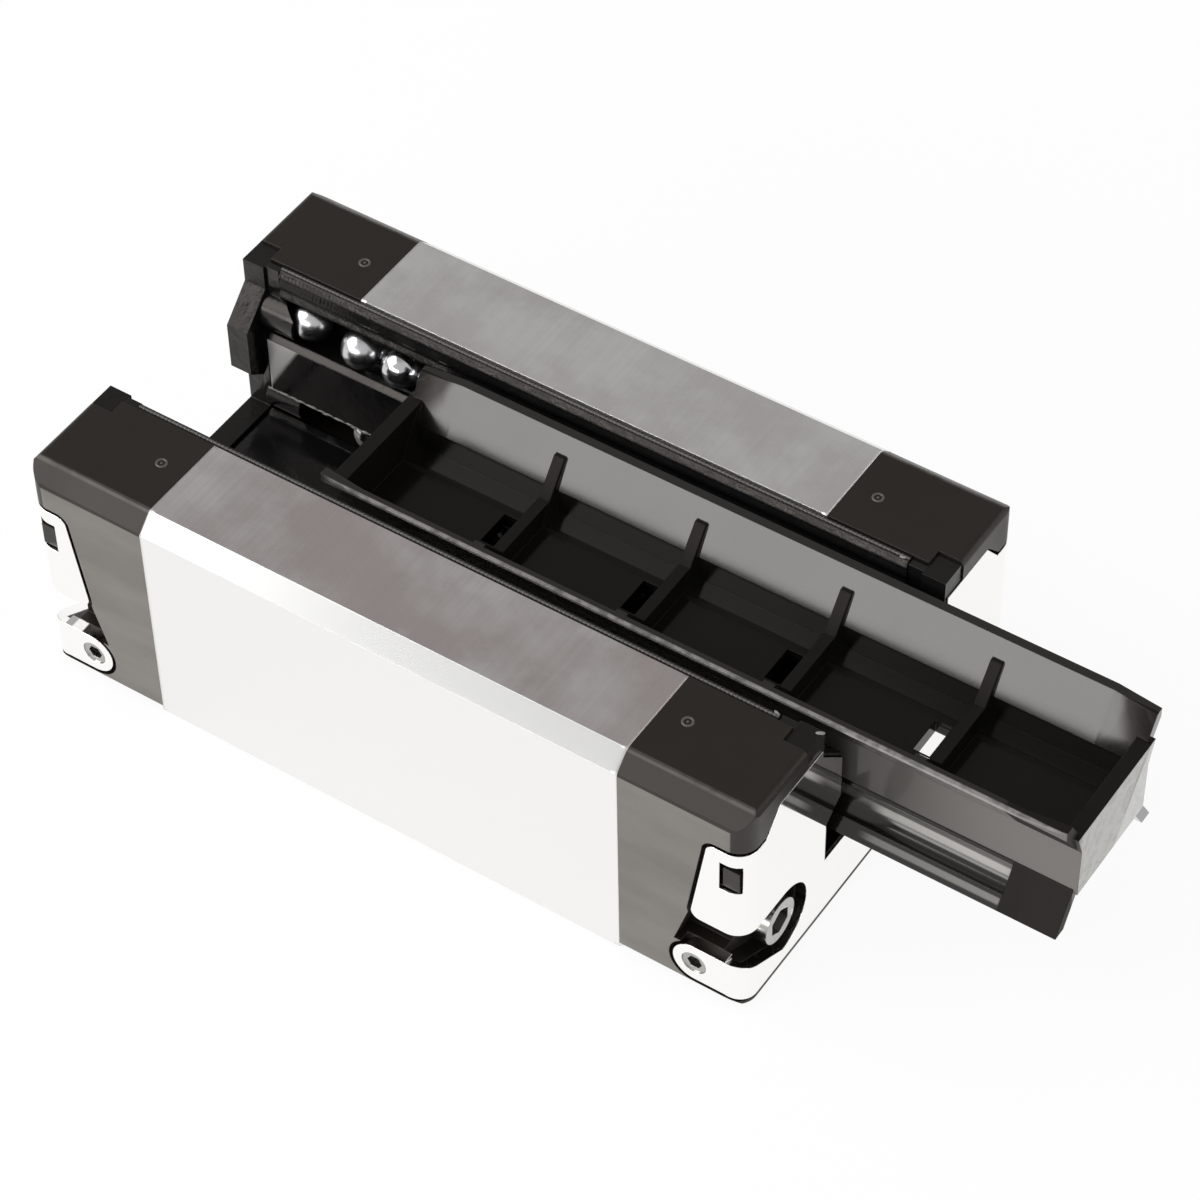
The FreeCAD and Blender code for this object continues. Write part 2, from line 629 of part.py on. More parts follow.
def turn_core(end, side):
    """Round cores that the balls of both rows roll about on their way back."""
    body = new_body(f"turn_core_{END[end]}_{SIDE[side]}")
    gap = D.fit_gap
    core = turn_radius - channel_radius
    inward, outward = (turn_y - core) * side, (turn_y + core) * side
    outline = [(steel_end * end, inward), (turn_x * end, inward, (turn_x * end, turn_y * side, side * end)),
               (turn_x * end, outward), (steel_end * end, outward)]
    for level in LEVEL:
        low_z, height = turn_span(level)
        edge = TRACK_Z[level] - (D.raceway_depth - gap) * level
        foot, top = (edge, low_z + height - gap) if level > 0 else (low_z + gap, edge)
        pad(body, draw(body, "XY", foot, [outline]), top - foot)


def end_seal(end):
    """Rubber wiper behind the cover plate, with a rim that lines the plate's opening."""
    body = new_body(f"end_seal_{END[end]}")
    lip = lip_outline(size(0), D.seal_top)
    half = seal_edge()[::-1] + [(D.seal_shoulder, D.seal_top)] + lip
    pad(body, draw(body, "YZ", seal_seat * end, [mirrored(half)]), D.seal_thickness, flipped=end < 0)
    rim = lip_outline(D.lip_gap - D.fit_gap, D.seal_top)[::-1] + lip
    rim_height = D.plate_thickness - D.rim_inset
    pad(body, draw(body, "YZ", plate_seat * end, [mirrored(rim)]), rim_height, flipped=end < 0)
    brows = [rectangle(D.mouth_half * side, D.seal_shoulder * side, D.plate_top + D.fit_gap, D.seal_top)
             for side in SIDE]
    pad(body, draw(body, "YZ", plate_seat * end, brows), rim_height, flipped=end < 0)


def cover_plate(end):
    """Stainless plate bent round the upright corners of an end cap."""
    body = new_body(f"cover_plate_{END[end]}")
    thick = D.plate_thickness
    ear_x = block_end - D.ear_reach
    bend = block_end - D.cap_corner
    bend_y = half_width - D.cap_corner
    plan = [(ear_x * end, half_width - thick), (plate_seat * end, half_width - thick),
            (plate_seat * end, thick - half_width), (ear_x * end, thick - half_width),
            (ear_x * end, -half_width), (bend * end, -half_width, (bend * end, -bend_y, end)),
            (block_end * end, -bend_y), (block_end * end, bend_y, (bend * end, bend_y, end)),
            (bend * end, half_width), (ear_x * end, half_width)]
    pad(body, draw(body, "XY", D.plate_foot, [plan]), D.plate_top - D.plate_foot)

    over_top = D.plate_top + OVER
    shoulders = []
    for side in SIDE:
        shoulders.append([(D.shoulder_top * side, D.plate_top), (D.shoulder_foot * side, D.tab_top),
                          ((half_width + OVER) * side, D.tab_top), ((half_width + OVER) * side, over_top),
                          (D.shoulder_top * side, over_top)])
    openings = [mirrored(lip_outline(D.lip_gap, over_top))] + [screw_recess(side) for side in SIDE]
    end_pocket(body, end, openings + shoulders, D.cap_corner, [(0, D.port_z, tapped_radius)])

    beyond = (block_end + OVER) * end
    before = (ear_x - OVER) * end
    ear = ear_edge(end, size(0))
    trim = [(before, D.plate_foot - OVER), (block_end * end, D.plate_foot - OVER),
            (block_end * end, D.plate_foot), (bend * end, D.ear_foot)] + ear
    trim += [(beyond, D.band_top), (beyond, D.tab_foot)] + tab_edge(end, size(0))
    trim += [(beyond, D.tab_top), (beyond, over_top), (before, over_top)]
    window_x = block_end - D.window_inset
    half = D.window_width / 2
    window = rectangle((window_x - half) * end, (window_x + half) * end, D.window_foot,
                       D.window_foot + D.window_height)
    for side in SIDE:
        side_pocket(body, side, [trim, window], D.cap_corner,
                    [((block_end - D.port_x) * end, D.port_z, tapped_radius)])


def place(item, spot, direction):
    """Stand a primitive at a spot with its own Z axis along a direction."""
    item.Placement.Rotation = Rotation(Vector(0, 0, 1), direction)
    for axis, amount in zip("xyz", spot):
        bind(item, f"Placement.Base.{axis}", amount)


def cylinder(radius, length, spot, direction):
    """Round bar from a spot along a direction."""
    item = doc.addObject("Part::Cylinder", "Cylinder")
    bind(item, "Radius", radius)
    bind(item, "Height", length)
    place(item, spot, direction)
    return item


def socket(across, depth, spot, direction):
    """Hexagon prism for the socket of a screw."""
    item = doc.addObject("Part::Prism", "Socket")
    item.Polygon = 6
    bind(item, "Circumradius", across / math.sqrt(3))
    bind(item, "Height", depth)
    place(item, spot, direction)
    return item


def cut(base, tool):
    """First shape less the second."""
    item = doc.addObject("Part::Cut", "Cut")
    item.Base = base
    item.Tool = tool
    return item


def group(label, items):
    """One node made of several loose pieces of the same kind."""
    item = doc.addObject("Part::Compound", "Group")
    item.Label = label
    item.Links = items
    return item


def end_screws(end):
    """Socket screws that hold cap, seal and cover plate to the steel body."""
    screws = []
    inward = Vector(-end, 0, 0)
    seat = block_end - D.recess_depth
    for side in SIDE:
        y, z = D.end_screw_y * side, D.end_screw_z
        top = ((seat + D.end_head_height) * end, y, z)
        bars = [cylinder(D.end_head_diameter / 2, D.end_head_height, top, inward),
                cylinder(D.thread_core / 2, seat - steel_end + D.end_bite, (seat * end, y, z), inward)]
        screw = doc.addObject("Part::MultiFuse", "Screw")
        screw.Shapes = bars
        screws.append(cut(screw, socket(D.end_socket, D.end_head_height * HEAD_SOCKET_SHARE, top, inward)))
    return group(f"end_screws_{END[end]}", screws)


def set_screw(spot, direction):
    """Set screw from its outer face along a direction."""
    bar = cylinder(D.thread_core / 2, D.plug_length, spot, direction)
    return cut(bar, socket(D.plug_socket, D.plug_length * PLUG_SOCKET_SHARE, spot, direction))


def port_screws(end):
    """Set screws that close the two side ports and the front port of an end cap."""
    x = (block_end - D.port_x) * end
    sides = [set_screw((x, (half_width - D.plug_inset) * side, D.port_z), Vector(0, -side, 0)) for side in SIDE]
    group(f"side_port_screws_{END[end]}", sides)
    front = set_screw(((block_end - D.plug_inset) * end, 0, D.port_z), Vector(-end, 0, 0))
    front.Label = f"end_port_screw_{END[end]}"


def ball(x, y, z):
    """One rolling ball."""
    item = doc.addObject("Part::Sphere", "Ball")
    bind(item, "Radius", ball_radius)
    place(item, (x, y, z), Vector(0, 0, 1))
    return item


def exposed_balls():
    """Balls that show at the rear end of the far leg, where the arbor has left them bare."""
    lead_x = turn_x + D.lead_past
    lead_y = turn_y - root(turn_radius * turn_radius - D.lead_past * D.lead_past)
    second_x = lead_x - D.lead_spacing
    third_x = second_x - D.bare_spacing
    spots = [(lead_x, lead_y), (second_x, track_y), (third_x, track_y)]
    group("balls_far_upper", [ball(-x, y, D.upper_track) for x, y in spots])


def mounting_arbor():
    """Ribbed channel that keeps the balls in while the block is off its rail."""
    body = new_body("mounting_arbor")
    middle = D.arbor_out
    half_length = D.arbor_length / 2
    neck = D.neck_width / 2
    lip = D.lip_width / 2
    skirt = D.skirt_width / 2
    inner = neck - D.neck_wall
    floor_foot = D.floor_top - D.floor_thickness
    inner_top = D.neck_top + D.neck_wall / 2
    half = [(neck - D.skirt_wall, floor_foot), (neck - D.skirt_wall, D.skirt_top),
            (skirt - D.skirt_wall, D.skirt_foot), (skirt, D.skirt_foot), (neck, D.skirt_top),
            (neck, D.neck_top), (lip, D.lip_top - D.lip_rim), (lip, D.lip_top), (lip - D.lip_wall, D.lip_top),
            (inner, inner_top), (inner, D.floor_top)]
    pad(body, draw(body, "YZ", middle, [mirrored(half)]), (half_length - D.lip_setback) * 2, both=True)

    lean = (lip - D.lip_wall - inner) / (D.lip_top - inner_top)
    wall_top = inner + (D.end_wall_top - inner_top) * lean + D.neck_wall / 2
    wall = [(neck, D.end_wall_foot), (neck, D.neck_top), (wall_top, D.end_wall_top)]
    for end in END:
        face = draw(body, "YZ", middle + half_length * end, [mirrored(wall)])
        pad(body, face, D.end_wall, flipped=end > 0)

    run = skirt - neck
    rise = D.skirt_top - D.skirt_foot
    flute_y = neck + run * FLUTE_SHARE
    flute_z = D.skirt_top - rise * FLUTE_SHARE
    slope = root(run * run + rise * rise)
    stand = D.flute_radius - D.flute_depth
    flutes = [((flute_y + stand * rise / slope) * side, flute_z + stand * run / slope, D.flute_radius)
              for side in SIDE]
    pocket(body, draw(body, "YZ", middle, circles=flutes), (half_length - D.flute_end) * 2, both=True)

    leads = []
    for end in END:
        for side in SIDE:
            start = middle + (half_length - D.lead_length) * end
            stop = middle + (half_length + OVER) * end
            tip = lip - D.lead_depth * (D.lead_length + OVER) / D.lead_length
            leads.append([(start, lip * side), (stop, tip * side), (stop, (lip + OVER) * side),
                          (start, (lip + OVER) * side)])
    pocket(body, draw(body, "XY", D.lip_top + OVER, leads), D.lip_top + OVER - D.neck_top)

    # The inner side of each lip leans in along the same taper
    lead_start = half_length - D.lead_length
    lip_end = half_length - D.lip_setback
    shift = D.lead_depth * (lip_end - lead_start) / D.lead_length
    for end in END:
        for side in SIDE:
            sections = []
            for at, inward in ((lead_start, size(0)), (lip_end, shift)):
                tip = lip - D.lip_wall - inward
                outline = [(inner, inner_top), (tip, D.lip_top), (tip + D.lip_wall / 2, D.lip_top),
                           (inner + D.lip_wall / 2, inner_top)]
                outline = [(y * side, z) for y, z in outline]
                sections.append(draw(body, "YZ", middle + at * end, [outline]))
            loft(body, *sections)

    first = middle + D.rib_shift - D.rib_pitch * ((RIB_COUNT - 1) / 2)
    tip = inner + (D.gusset_top - inner_top) * lean
    rib = [(inner + D.neck_wall / 2, floor_foot + D.floor_thickness / 2), (inner + D.neck_wall / 2, inner_top),
           (tip + D.neck_wall / 2, D.gusset_top), (tip - D.neck_wall / 2, D.gusset_top),
           (inner - D.rib_thickness, D.rib_top)]
    ribs = pad(body, draw(body, "YZ", first, [mirrored(rib)]), D.rib_thickness, both=True)
    hole_end = first - D.slot_hole_gap
    hole = rectangle(hole_end - D.slot_hole_width, hole_end, -D.slot_hole_length / 2, D.slot_hole_length / 2)
    holes = pocket(body, draw(body, "XY", D.floor_top, [hole]), D.floor_thickness + OVER)
    pattern = body.newObject("PartDesign::LinearPattern", "RibPattern")
    pattern.Originals = [ribs, holes]
    axis = next(item for item in body.Origin.OriginFeatures if item.Role == "X_Axis")
    pattern.Direction = (axis, [""])
    bind(pattern, "Length", D.rib_pitch * (RIB_COUNT - 1))
    pattern.Occurrences = RIB_COUNT
    body.Tip = pattern


def build_all():
    """Every sub-part of the block and its arbor."""
    runner_body()
    slot_liner()
    for side in SIDE:
        ball_retainer(side)
        seal_strip(side)
        for level in LEVEL:
            raceway(side, level)
    for end in END:
        end_cap(end)
        end_seal(end)
        cover_plate(end)
        end_screws(end)
        port_screws(end)
        for side in SIDE:
            return_guide(end, side)
            turn_core(end, side)
    exposed_balls()
    mounting_arbor()


def export_all():
    """Check each finished sub-part and write it under its label."""
    os.makedirs("parts", exist_ok=True)
    for item in doc.Objects:
        if "Invalid" in item.State or "Error" in item.State:
            raise RuntimeError(f"{item.Label} ({item.Name}) failed: {item.State}")
    used = {link for item in doc.Objects for link in item.OutList if item.TypeId.startswith("Part::")}
    for item in doc.Objects:
        finished = item.TypeId == "PartDesign::Body" or item.TypeId.startswith("Part::")
        if not finished or item in used:
            continue
        if item.Shape.isNull() or not item.Shape.isValid():
            raise RuntimeError(f"{item.Label} has no valid shape")
        item.Shape.exportStep(f"parts/{item.Label}.step")


build_all()
doc.recompute()
export_all()
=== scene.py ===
"""Finishes, hidden ball rows, moulding marks and studio for a ball runner block with its mounting arbor."""

import math

import bmesh
import bpy
from bpy.props import FloatProperty, FloatVectorProperty, IntProperty, PointerProperty
from mathutils import Matrix, Vector


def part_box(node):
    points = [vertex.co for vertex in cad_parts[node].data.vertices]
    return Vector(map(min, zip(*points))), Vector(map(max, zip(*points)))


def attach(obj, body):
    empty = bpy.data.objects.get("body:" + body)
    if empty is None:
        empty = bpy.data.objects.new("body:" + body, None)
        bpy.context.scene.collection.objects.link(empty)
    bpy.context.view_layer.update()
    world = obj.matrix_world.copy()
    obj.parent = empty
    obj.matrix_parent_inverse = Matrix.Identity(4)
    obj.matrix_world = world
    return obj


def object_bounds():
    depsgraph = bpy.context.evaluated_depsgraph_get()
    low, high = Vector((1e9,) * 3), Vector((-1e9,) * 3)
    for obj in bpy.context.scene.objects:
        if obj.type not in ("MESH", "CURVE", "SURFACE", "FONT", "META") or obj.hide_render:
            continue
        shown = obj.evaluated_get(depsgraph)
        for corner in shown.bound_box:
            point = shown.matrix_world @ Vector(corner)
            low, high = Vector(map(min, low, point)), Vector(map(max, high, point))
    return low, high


bl_info = {
    "name": "Ball Runner Block Looks",
    "version": (1, 0, 0),
    "blender": (4, 5, 0),
    "location": "3D View > Sidebar > Runner Block",
    "description": "Finishes, ball rows and studio for a ball runner block",
    "category": "Object",
}

MM = 0.001
ENDS = ("front", "rear")
SIDES = ("far", "near")
LEVELS = ("upper", "lower")
END_SIGN = {"front": 1.0, "rear": -1.0}
SIDE_SIGN = {"far": 1.0, "near": -1.0}

# Directions on the block: along the rail, across it, and up from the mounting face.
FRONT, REAR = (1.0, 0.0, 0.0), (-1.0, 0.0, 0.0)
FAR, NEAR = (0.0, 1.0, 0.0), (0.0, -1.0, 0.0)
UP, DOWN = (0.0, 0.0, 1.0), (0.0, 0.0, -1.0)
# Square to the slanted lower part of the arbor's far wall, and to the slanted end of a ball retainer.
WALL_SLOPE = (0.0, -0.827, 0.563)
RETAINER_SLOPE = (-0.863, 0.0, 0.505)

# Place, half sizes and turn of each drop of grease at the ends of the seal strips, in millimetres.
GREASE_DROPS = (((37.1, -10.1, 25.04), (0.42, 0.20, 0.08), 0.5),
                ((33.0, -10.3, 25.18), (0.36, 0.16, 0.10), -0.4),
                ((32.8, 10.5, 25.18), (0.40, 0.18, 0.10), 0.3))
# Number, start, pitch and half length of the drops in the line under the far retainer, in millimetres.
GREASE_LINE = (24, 1.2, 0.46, 0.42)

# Height below the top of an end cap within which the edges of its chamfers lie.
CHAMFER_REACH = 3.0 * MM

# Place and size of each studio light, in metres, and the point that all of them face.
STUDIO_LIGHTS = {"front": ((-0.143, -0.736, 0.285), (0.75, 0.21)),
                 "left": ((-0.53, -0.30, 0.53), (0.65, 0.65)),
                 "right": ((0.70, 0.0, 0.13), (0.28, 0.20)),
                 "back": ((0.58, 0.43, 0.28), (0.36, 0.22))}
LIGHT_TARGET = (0.0, 0.0, 0.012)
# Direction of the darker part of the room, behind and above the block.
ROOM_BEHIND = (-0.39, 0.535, 0.75)

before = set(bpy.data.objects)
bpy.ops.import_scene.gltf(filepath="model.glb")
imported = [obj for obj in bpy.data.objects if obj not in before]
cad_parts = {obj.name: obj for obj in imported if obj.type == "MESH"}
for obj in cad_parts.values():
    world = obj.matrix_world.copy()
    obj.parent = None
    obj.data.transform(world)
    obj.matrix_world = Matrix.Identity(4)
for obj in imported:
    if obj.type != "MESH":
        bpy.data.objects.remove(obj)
cad_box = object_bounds()


def length(name, default_mm, description):
    """A length property, given here in millimetres."""
    return FloatProperty(name=name, description=description, default=default_mm * MM, min=0.0,
                         subtype="DISTANCE", unit="LENGTH", precision=5)


def share(name, default, description):
    """A property between nought and one."""
    return FloatProperty(name=name, description=description, default=default, min=0.0, max=1.0,
                         subtype="FACTOR")


def colour(name, default, description):
    """A linear colour property."""
    return FloatVectorProperty(name=name, description=description, default=default, size=3,
                               min=0.0, max=1.0, subtype="COLOR")


def glow(name, default, description):
    """A brightness property, as a share of white."""
    return FloatProperty(name=name, description=description, default=default, min=0.0)


def angle(name, default_degrees, description):
    """An angle property, given here in degrees."""
    return FloatProperty(name=name, description=description, default=math.radians(default_degrees),
                         subtype="ANGLE", unit="ROTATION")


class RunnerFinish(bpy.types.PropertyGroup):
    """Colours and surface finish of the materials."""
    steel: colour("Steel", (0.90, 0.89, 0.875), "Ground steel of the body")
    # Partly a real film and partly painted shade that keeps the leg tips darker than the sides.
    film: colour("Steel film", (0.62, 0.555, 0.54), "Dull film on the leg tips, heaviest on the near leg")
    # Painted shade: a darker tone on the chamfers that holds back the light they catch.
    chamfer_shade: colour("Steel chamfers", (0.64, 0.636, 0.628), "Chamfers of the steel body")
    raceway: colour("Raceway", (0.50, 0.50, 0.51), "Hardened steel of the raceways")
    stainless: colour("Stainless", (0.96, 0.95, 0.93), "Polished sheet of the cover plates")
    chrome: colour("Balls", (0.62, 0.62, 0.63), "Polished bearing steel of the balls")
    screw: colour("Screws", (0.42, 0.41, 0.39), "Satin steel of the screws")
    cap: colour("End caps", (0.0090, 0.0070, 0.0052), "Black moulding of the end caps")
    # Painted highlight along the creases of the end caps.
    cap_crease_glint: colour("End cap edges", (0.060, 0.056, 0.051), "Rubbed edges of the end caps")
    # Painted light: a grey tone on the matt sides of the end caps, also used for the paler mould marks.
    painted_cap_light: colour("End cap sides", (0.155, 0.147, 0.133), "Painted grey light on the matt sides of the end caps")
    guide: colour("Guides", (0.006, 0.0058, 0.0062), "Oiled black moulding of the guides")
    rubber: colour("Rubber", (0.007, 0.0067, 0.0066), "Black rubber of the seals")
    arbor: colour("Arbor", (0.0065, 0.0056, 0.0049), "Black moulding of the arbor")
    # Painted light: a grey tone on the arbor's outer sides.
    painted_arbor_light: colour("Arbor sides", (0.150, 0.142, 0.133), "Painted grey light on the outer sides of the arbor")
    # Painted light: a pale tone on the arbor's end face.
    painted_arbor_end_light: colour("Arbor end", (0.40, 0.395, 0.375), "Painted pale light on the face at the outer end of the arbor")
    # Painted glint along the near arbor lip and along the lower edge of the ball retainers.
    painted_edge_glint: colour("Painted edge glint", (0.25, 0.238, 0.226), "Painted glint on the edge of the near arbor lip")
    # Painted glint in two bands along the flutes of the arbor's skirt.
    polished: colour("Flute glint", (0.40, 0.39, 0.37), "Painted glint in a band along a flute")
    # Painted highlight: the bead is far paler than the rubber, to show as a light line.
    bead: colour("Strip bead", (0.080, 0.077, 0.074), "Raised bead along the seal strips")
    grease: colour("Grease", (0.24, 0.23, 0.22), "Grease on the seals and the retainer")
    warm: colour("Warm gloss", (1.0, 0.92, 0.87), "Tint of the gloss on black mouldings")
    # Painted reflection at the open end of the ball retainers.
    painted_open_end_light: colour("Pale end", (0.36, 0.35, 0.335), "Painted reflection at the open end of the ball retainers")
    edge_round: length("Edge rounding", 0.13, "Radius of the broken edges of mouldings")
    steel_round: length("Steel edge rounding", 0.06, "Radius of the broken edges of the steel body")
    sheet_round: length("Sheet edge rounding", 0.10, "Radius of the edges of sheet metal and screws")
    strip_round: length("Strip edge rounding", 0.28, "Radius of the edges of the seal strips")
    end_round: length("Steel end rounding", 0.45, "Radius of the end edges of the steel body")
    grain: share("Moulding grain", 0.22, "Height of the fine grain on mouldings")
    grinding: share("Grinding lines", 0.14, "Height of the grinding lines on the steel")
    oil: share("Oil film", 0.35, "Unevenness of the oil on guides and seals")
    arbor_film: share("Arbor film", 0.84, "Weight of the oil film on the arbor's inner wall and flutes")
    arbor_dull: share("Dull arbor", 0.45, "Extra roughness of the arbor's webs and plain skirt end")
    ridge_pitch: length("Strip ridges", 0.42, "Distance between the fine ridges of the seal strips")


class RunnerBalls(bpy.types.PropertyGroup):
    """Path and number of the balls in each loop."""
    diameter: length("Ball diameter", 3.969, "Diameter of a ball")
    track_y: length("Track", 10.4, "Distance of the loaded rows from the middle")
    turn_y: length("Turn", 13.65, "Distance of the turn's centre from the middle")
    turn_x: length("Turn end", 28.8155, "Distance of the turn's centre from the block's middle")
    upper_track: length("Upper track", 19.8, "Height of the upper loaded row")
    lower_track: length("Lower track", 9.5, "Height of the lower loaded row")
    upper_return: length("Upper return", 17.9, "Height of the upper return row")
    lower_return: length("Lower return", 11.2, "Height of the lower return row")
    count: IntProperty(name="Balls in a loop", description="Number of balls in one loop", default=32, min=4)
    lead_x: length("Lead ball", 24.0, "Distance of the first ball of a row behind the block's middle")
    play: length("Play", 0.04, "Gap between balls that touch")


class RunnerMarks(bpy.types.PropertyGroup):
    """Ring marks of the mould on the end caps, and the ridged bead on the seal strips."""
    ring_x: length("Ring along", 27.4, "Distance of a ring mark from the middle, along the rail")
    ring_y: length("Ring across", 15.2, "Distance of a ring mark from the middle, across the rail")
    ring_radius: length("Ring radius", 0.46, "Radius of a ring mark")
    ring_bead: length("Ring bead", 0.14, "Radius of the bead that forms a ring mark")
    strip_bead: length("Strip bead", 0.165, "Radius of the ridged bead along a seal strip")
    strip_inset: length("Strip inset", 0.42, "Distance of the bead from the outer edge of its seal strip")


class RunnerStudio(bpy.types.PropertyGroup):
    """Camera and studio."""
    place: FloatVectorProperty(name="Camera place", description="Place of the camera",
                               default=(0.14731, -0.20198, 0.28482), size=3, subtype="TRANSLATION",
                               unit="LENGTH")
    azimuth: angle("Azimuth", 34.516, "Turn of the view about the vertical, nought along +Y")
    elevation: angle("Elevation", 47.761, "Angle of the view below the level")
    roll: angle("Roll", -1.218, "Turn of the picture about the line of sight")
    lens_mm: FloatProperty(name="Lens", description="Focal length for a 36 mm wide picture, in millimetres",
                           default=124.09, min=1.0)
    floor_size: length("Floor", 6000.0, "Side of the floor")
    sky: glow("Room", 0.68, "Brightness of the room")
    overhead: share("Overhead", 0.58, "Brightness of the room behind and above, as a share of the rest")
    front: glow("Front light", 5.0, "Brightness of the low front light")
    left: glow("Left light", 3.0, "Brightness of the large light on the left")
    right: glow("Right light", 3.0, "Brightness of the small light on the right")
    back: glow("Back light", 1.2, "Brightness of the low light behind on the right")
    floor_white: share("Floor white", 0.92, "How much of the floor shows as plain white")


def shader_group(name, inputs, outputs):
    """An empty shader group with value inputs, given with their defaults, and with outputs."""
    group = bpy.data.node_groups.new(name, "ShaderNodeTree")
    for label, default in inputs.items():
        socket = group.interface.new_socket(label, in_out="INPUT", socket_type="NodeSocketFloat")
        socket.default_value = default
    for label in outputs:
        kind = "NodeSocketVector" if label == "Normal" else "NodeSocketFloat"
        group.interface.new_socket(label, in_out="OUTPUT", socket_type=kind)
    return group, group.nodes.new("NodeGroupInput"), group.nodes.new("NodeGroupOutput")


def feed(tree, value, socket):
    """Link a socket into another, or set the number or colour that is given instead."""
    if isinstance(value, bpy.types.NodeSocket):
        tree.links.new(value, socket)
    else:
        socket.default_value = value


def math_node(tree, operation, *values, clamp=False):
    """One math node, with sockets or numbers as its inputs."""
    node = tree.nodes.new("ShaderNodeMath")
    node.operation = operation
    node.use_clamp = clamp
    for socket, value in zip(node.inputs, values):
        feed(tree, value, socket)
    return node.outputs[0]


def product(tree, *factors):
    """Product of mask sockets and numbers."""
    value = factors[0]
    for factor in factors[1:]:
        value = math_node(tree, "MULTIPLY", value, factor)
    return value


def either(tree, *masks):
    """The largest of several masks."""
    value = masks[0]
    for mask in masks[1:]:
        value = math_node(tree, "MAXIMUM", value, mask)
    return value


def without(tree, whole, mask):
    """A mask less another one, never below nought."""
    return math_node(tree, "SUBTRACT", whole, mask, clamp=True)


def dot_node(tree, first, second):
    """Dot product of a vector socket with another one or with a fixed direction."""
    node = tree.nodes.new("ShaderNodeVectorMath")
    node.operation = "DOT_PRODUCT"
    feed(tree, first, node.inputs[0])
    feed(tree, second, node.inputs[1])
    return node.outputs["Value"]


def noise_node(tree, vector, scale, detail=3.0, rough=0.55):
    """One noise texture's value."""
    node = tree.nodes.new("ShaderNodeTexNoise")
    tree.links.new(vector, node.inputs["Vector"])
    feed(tree, scale, node.inputs["Scale"])
    node.inputs["Detail"].default_value = detail
    node.inputs["Roughness"].default_value = rough
    return node.outputs["Fac"]


def ramp_node(tree, value, low, high, bottom=0.0, top=1.0):
    """A smooth step from one value to another."""
    node = tree.nodes.new("ShaderNodeMapRange")
    node.interpolation_type = "SMOOTHSTEP"
    tree.links.new(value, node.inputs["Value"])
    for label, limit in (("From Min", low), ("From Max", high), ("To Min", bottom), ("To Max", top)):
        feed(tree, limit, node.inputs[label])
    return node.outputs["Result"]


def fade(tree, mask, bottom, top):
    """A mask turned into values between two limits."""
    return ramp_node(tree, mask, 0.0, 1.0, bottom, top)


def place_node(tree, stretch=(1.0, 1.0, 1.0), turn=(0.0, 0.0, 0.0)):
    """The place on the piece, turned and stretched."""
    coords = tree.nodes.new("ShaderNodeTexCoord")
    mapping = tree.nodes.new("ShaderNodeMapping")
    mapping.inputs["Rotation"].default_value = turn
    mapping.inputs["Scale"].default_value = stretch
    tree.links.new(coords.outputs["Object"], mapping.inputs["Vector"])
    return mapping.outputs["Vector"]


def patches(tree, scale, low, high, bottom=0.0, top=1.0):
    """Soft patches over a piece, as values between two limits."""
    return ramp_node(tree, noise_node(tree, place_node(tree), scale), low, high, bottom, top)


def normal_parts(group):
    """The three parts of the surface's direction."""
    geometry = group.nodes.new("ShaderNodeNewGeometry")
    split = group.nodes.new("ShaderNodeSeparateXYZ")
    group.links.new(geometry.outputs["Normal"], split.inputs["Vector"])
    return split.outputs


def edge_group():
    """Rounded normal and a mask of the rounded edges, which some materials use to paint glints."""
    group, start, end = shader_group("Edge Rounding", {"Radius": 0.2 * MM}, ("Mask", "Normal"))
    bevel = group.nodes.new("ShaderNodeBevel")
    bevel.samples = 6
    group.links.new(start.outputs["Radius"], bevel.inputs["Radius"])
    geometry = group.nodes.new("ShaderNodeNewGeometry")
    same = dot_node(group, bevel.outputs["Normal"], geometry.outputs["Normal"])
    group.links.new(ramp_node(group, without(group, 1.0, same), 0.02, 0.22), end.inputs["Mask"])
    group.links.new(bevel.outputs["Normal"], end.inputs["Normal"])
    return group


def facing_group():
    """Masks of faces that look along the rail, across it, and up or down."""
    labels = ("Along", "Across", "Level")
    group, _, end = shader_group("Facing", {}, labels)
    parts = normal_parts(group)
    for axis, label in zip("XYZ", labels):
        mask = ramp_node(group, math_node(group, "ABSOLUTE", parts[axis]), 0.90, 0.98)
        group.links.new(mask, end.inputs[label])
    return group


def beyond_group():
    """Mask that rises between two limits along a direction on the piece."""
    limits = {"Along": 0.0, "Across": 0.0, "Up": 0.0, "From": 0.0, "To": 1.0 * MM}
    group, start, end = shader_group("Places Beyond", limits, ("Mask",))
    coords = group.nodes.new("ShaderNodeTexCoord")
    way = group.nodes.new("ShaderNodeCombineXYZ")
    for axis, label in zip("XYZ", ("Along", "Across", "Up")):
        group.links.new(start.outputs[label], way.inputs[axis])
    distance = dot_node(group, coords.outputs["Object"], way.outputs["Vector"])
    mask = ramp_node(group, distance, start.outputs["From"], start.outputs["To"])
    group.links.new(mask, end.inputs["Mask"])
    return group


def ridge_group():
    """Fine ridges across a strip, uneven from place to place."""
    group, start, end = shader_group("Fine Ridges", {"Pitch": 0.4 * MM}, ("Height",))
    split = group.nodes.new("ShaderNodeSeparateXYZ")
    group.links.new(place_node(group), split.inputs["Vector"])
    turns = math_node(group, "DIVIDE", split.outputs["X"], start.outputs["Pitch"])
    wave = math_node(group, "SINE", product(group, turns, 2 * math.pi))
    group.links.new(product(group, wave, patches(group, 420.0, 0.35, 0.65)), end.inputs["Height"])
    return group


def grain_group():
    """Fine grain of a moulding, and slow clouds over it."""
    group, start, end = shader_group("Moulding Grain", {"Scale": 6000.0}, ("Height", "Cloud"))
    place = place_node(group)
    group.links.new(noise_node(group, place, start.outputs["Scale"], 2.0), end.inputs["Height"])
    cloud = noise_node(group, place, 90.0, 4.0, 0.6)
    group.links.new(ramp_node(group, cloud, 0.3, 0.7), end.inputs["Cloud"])
    return group


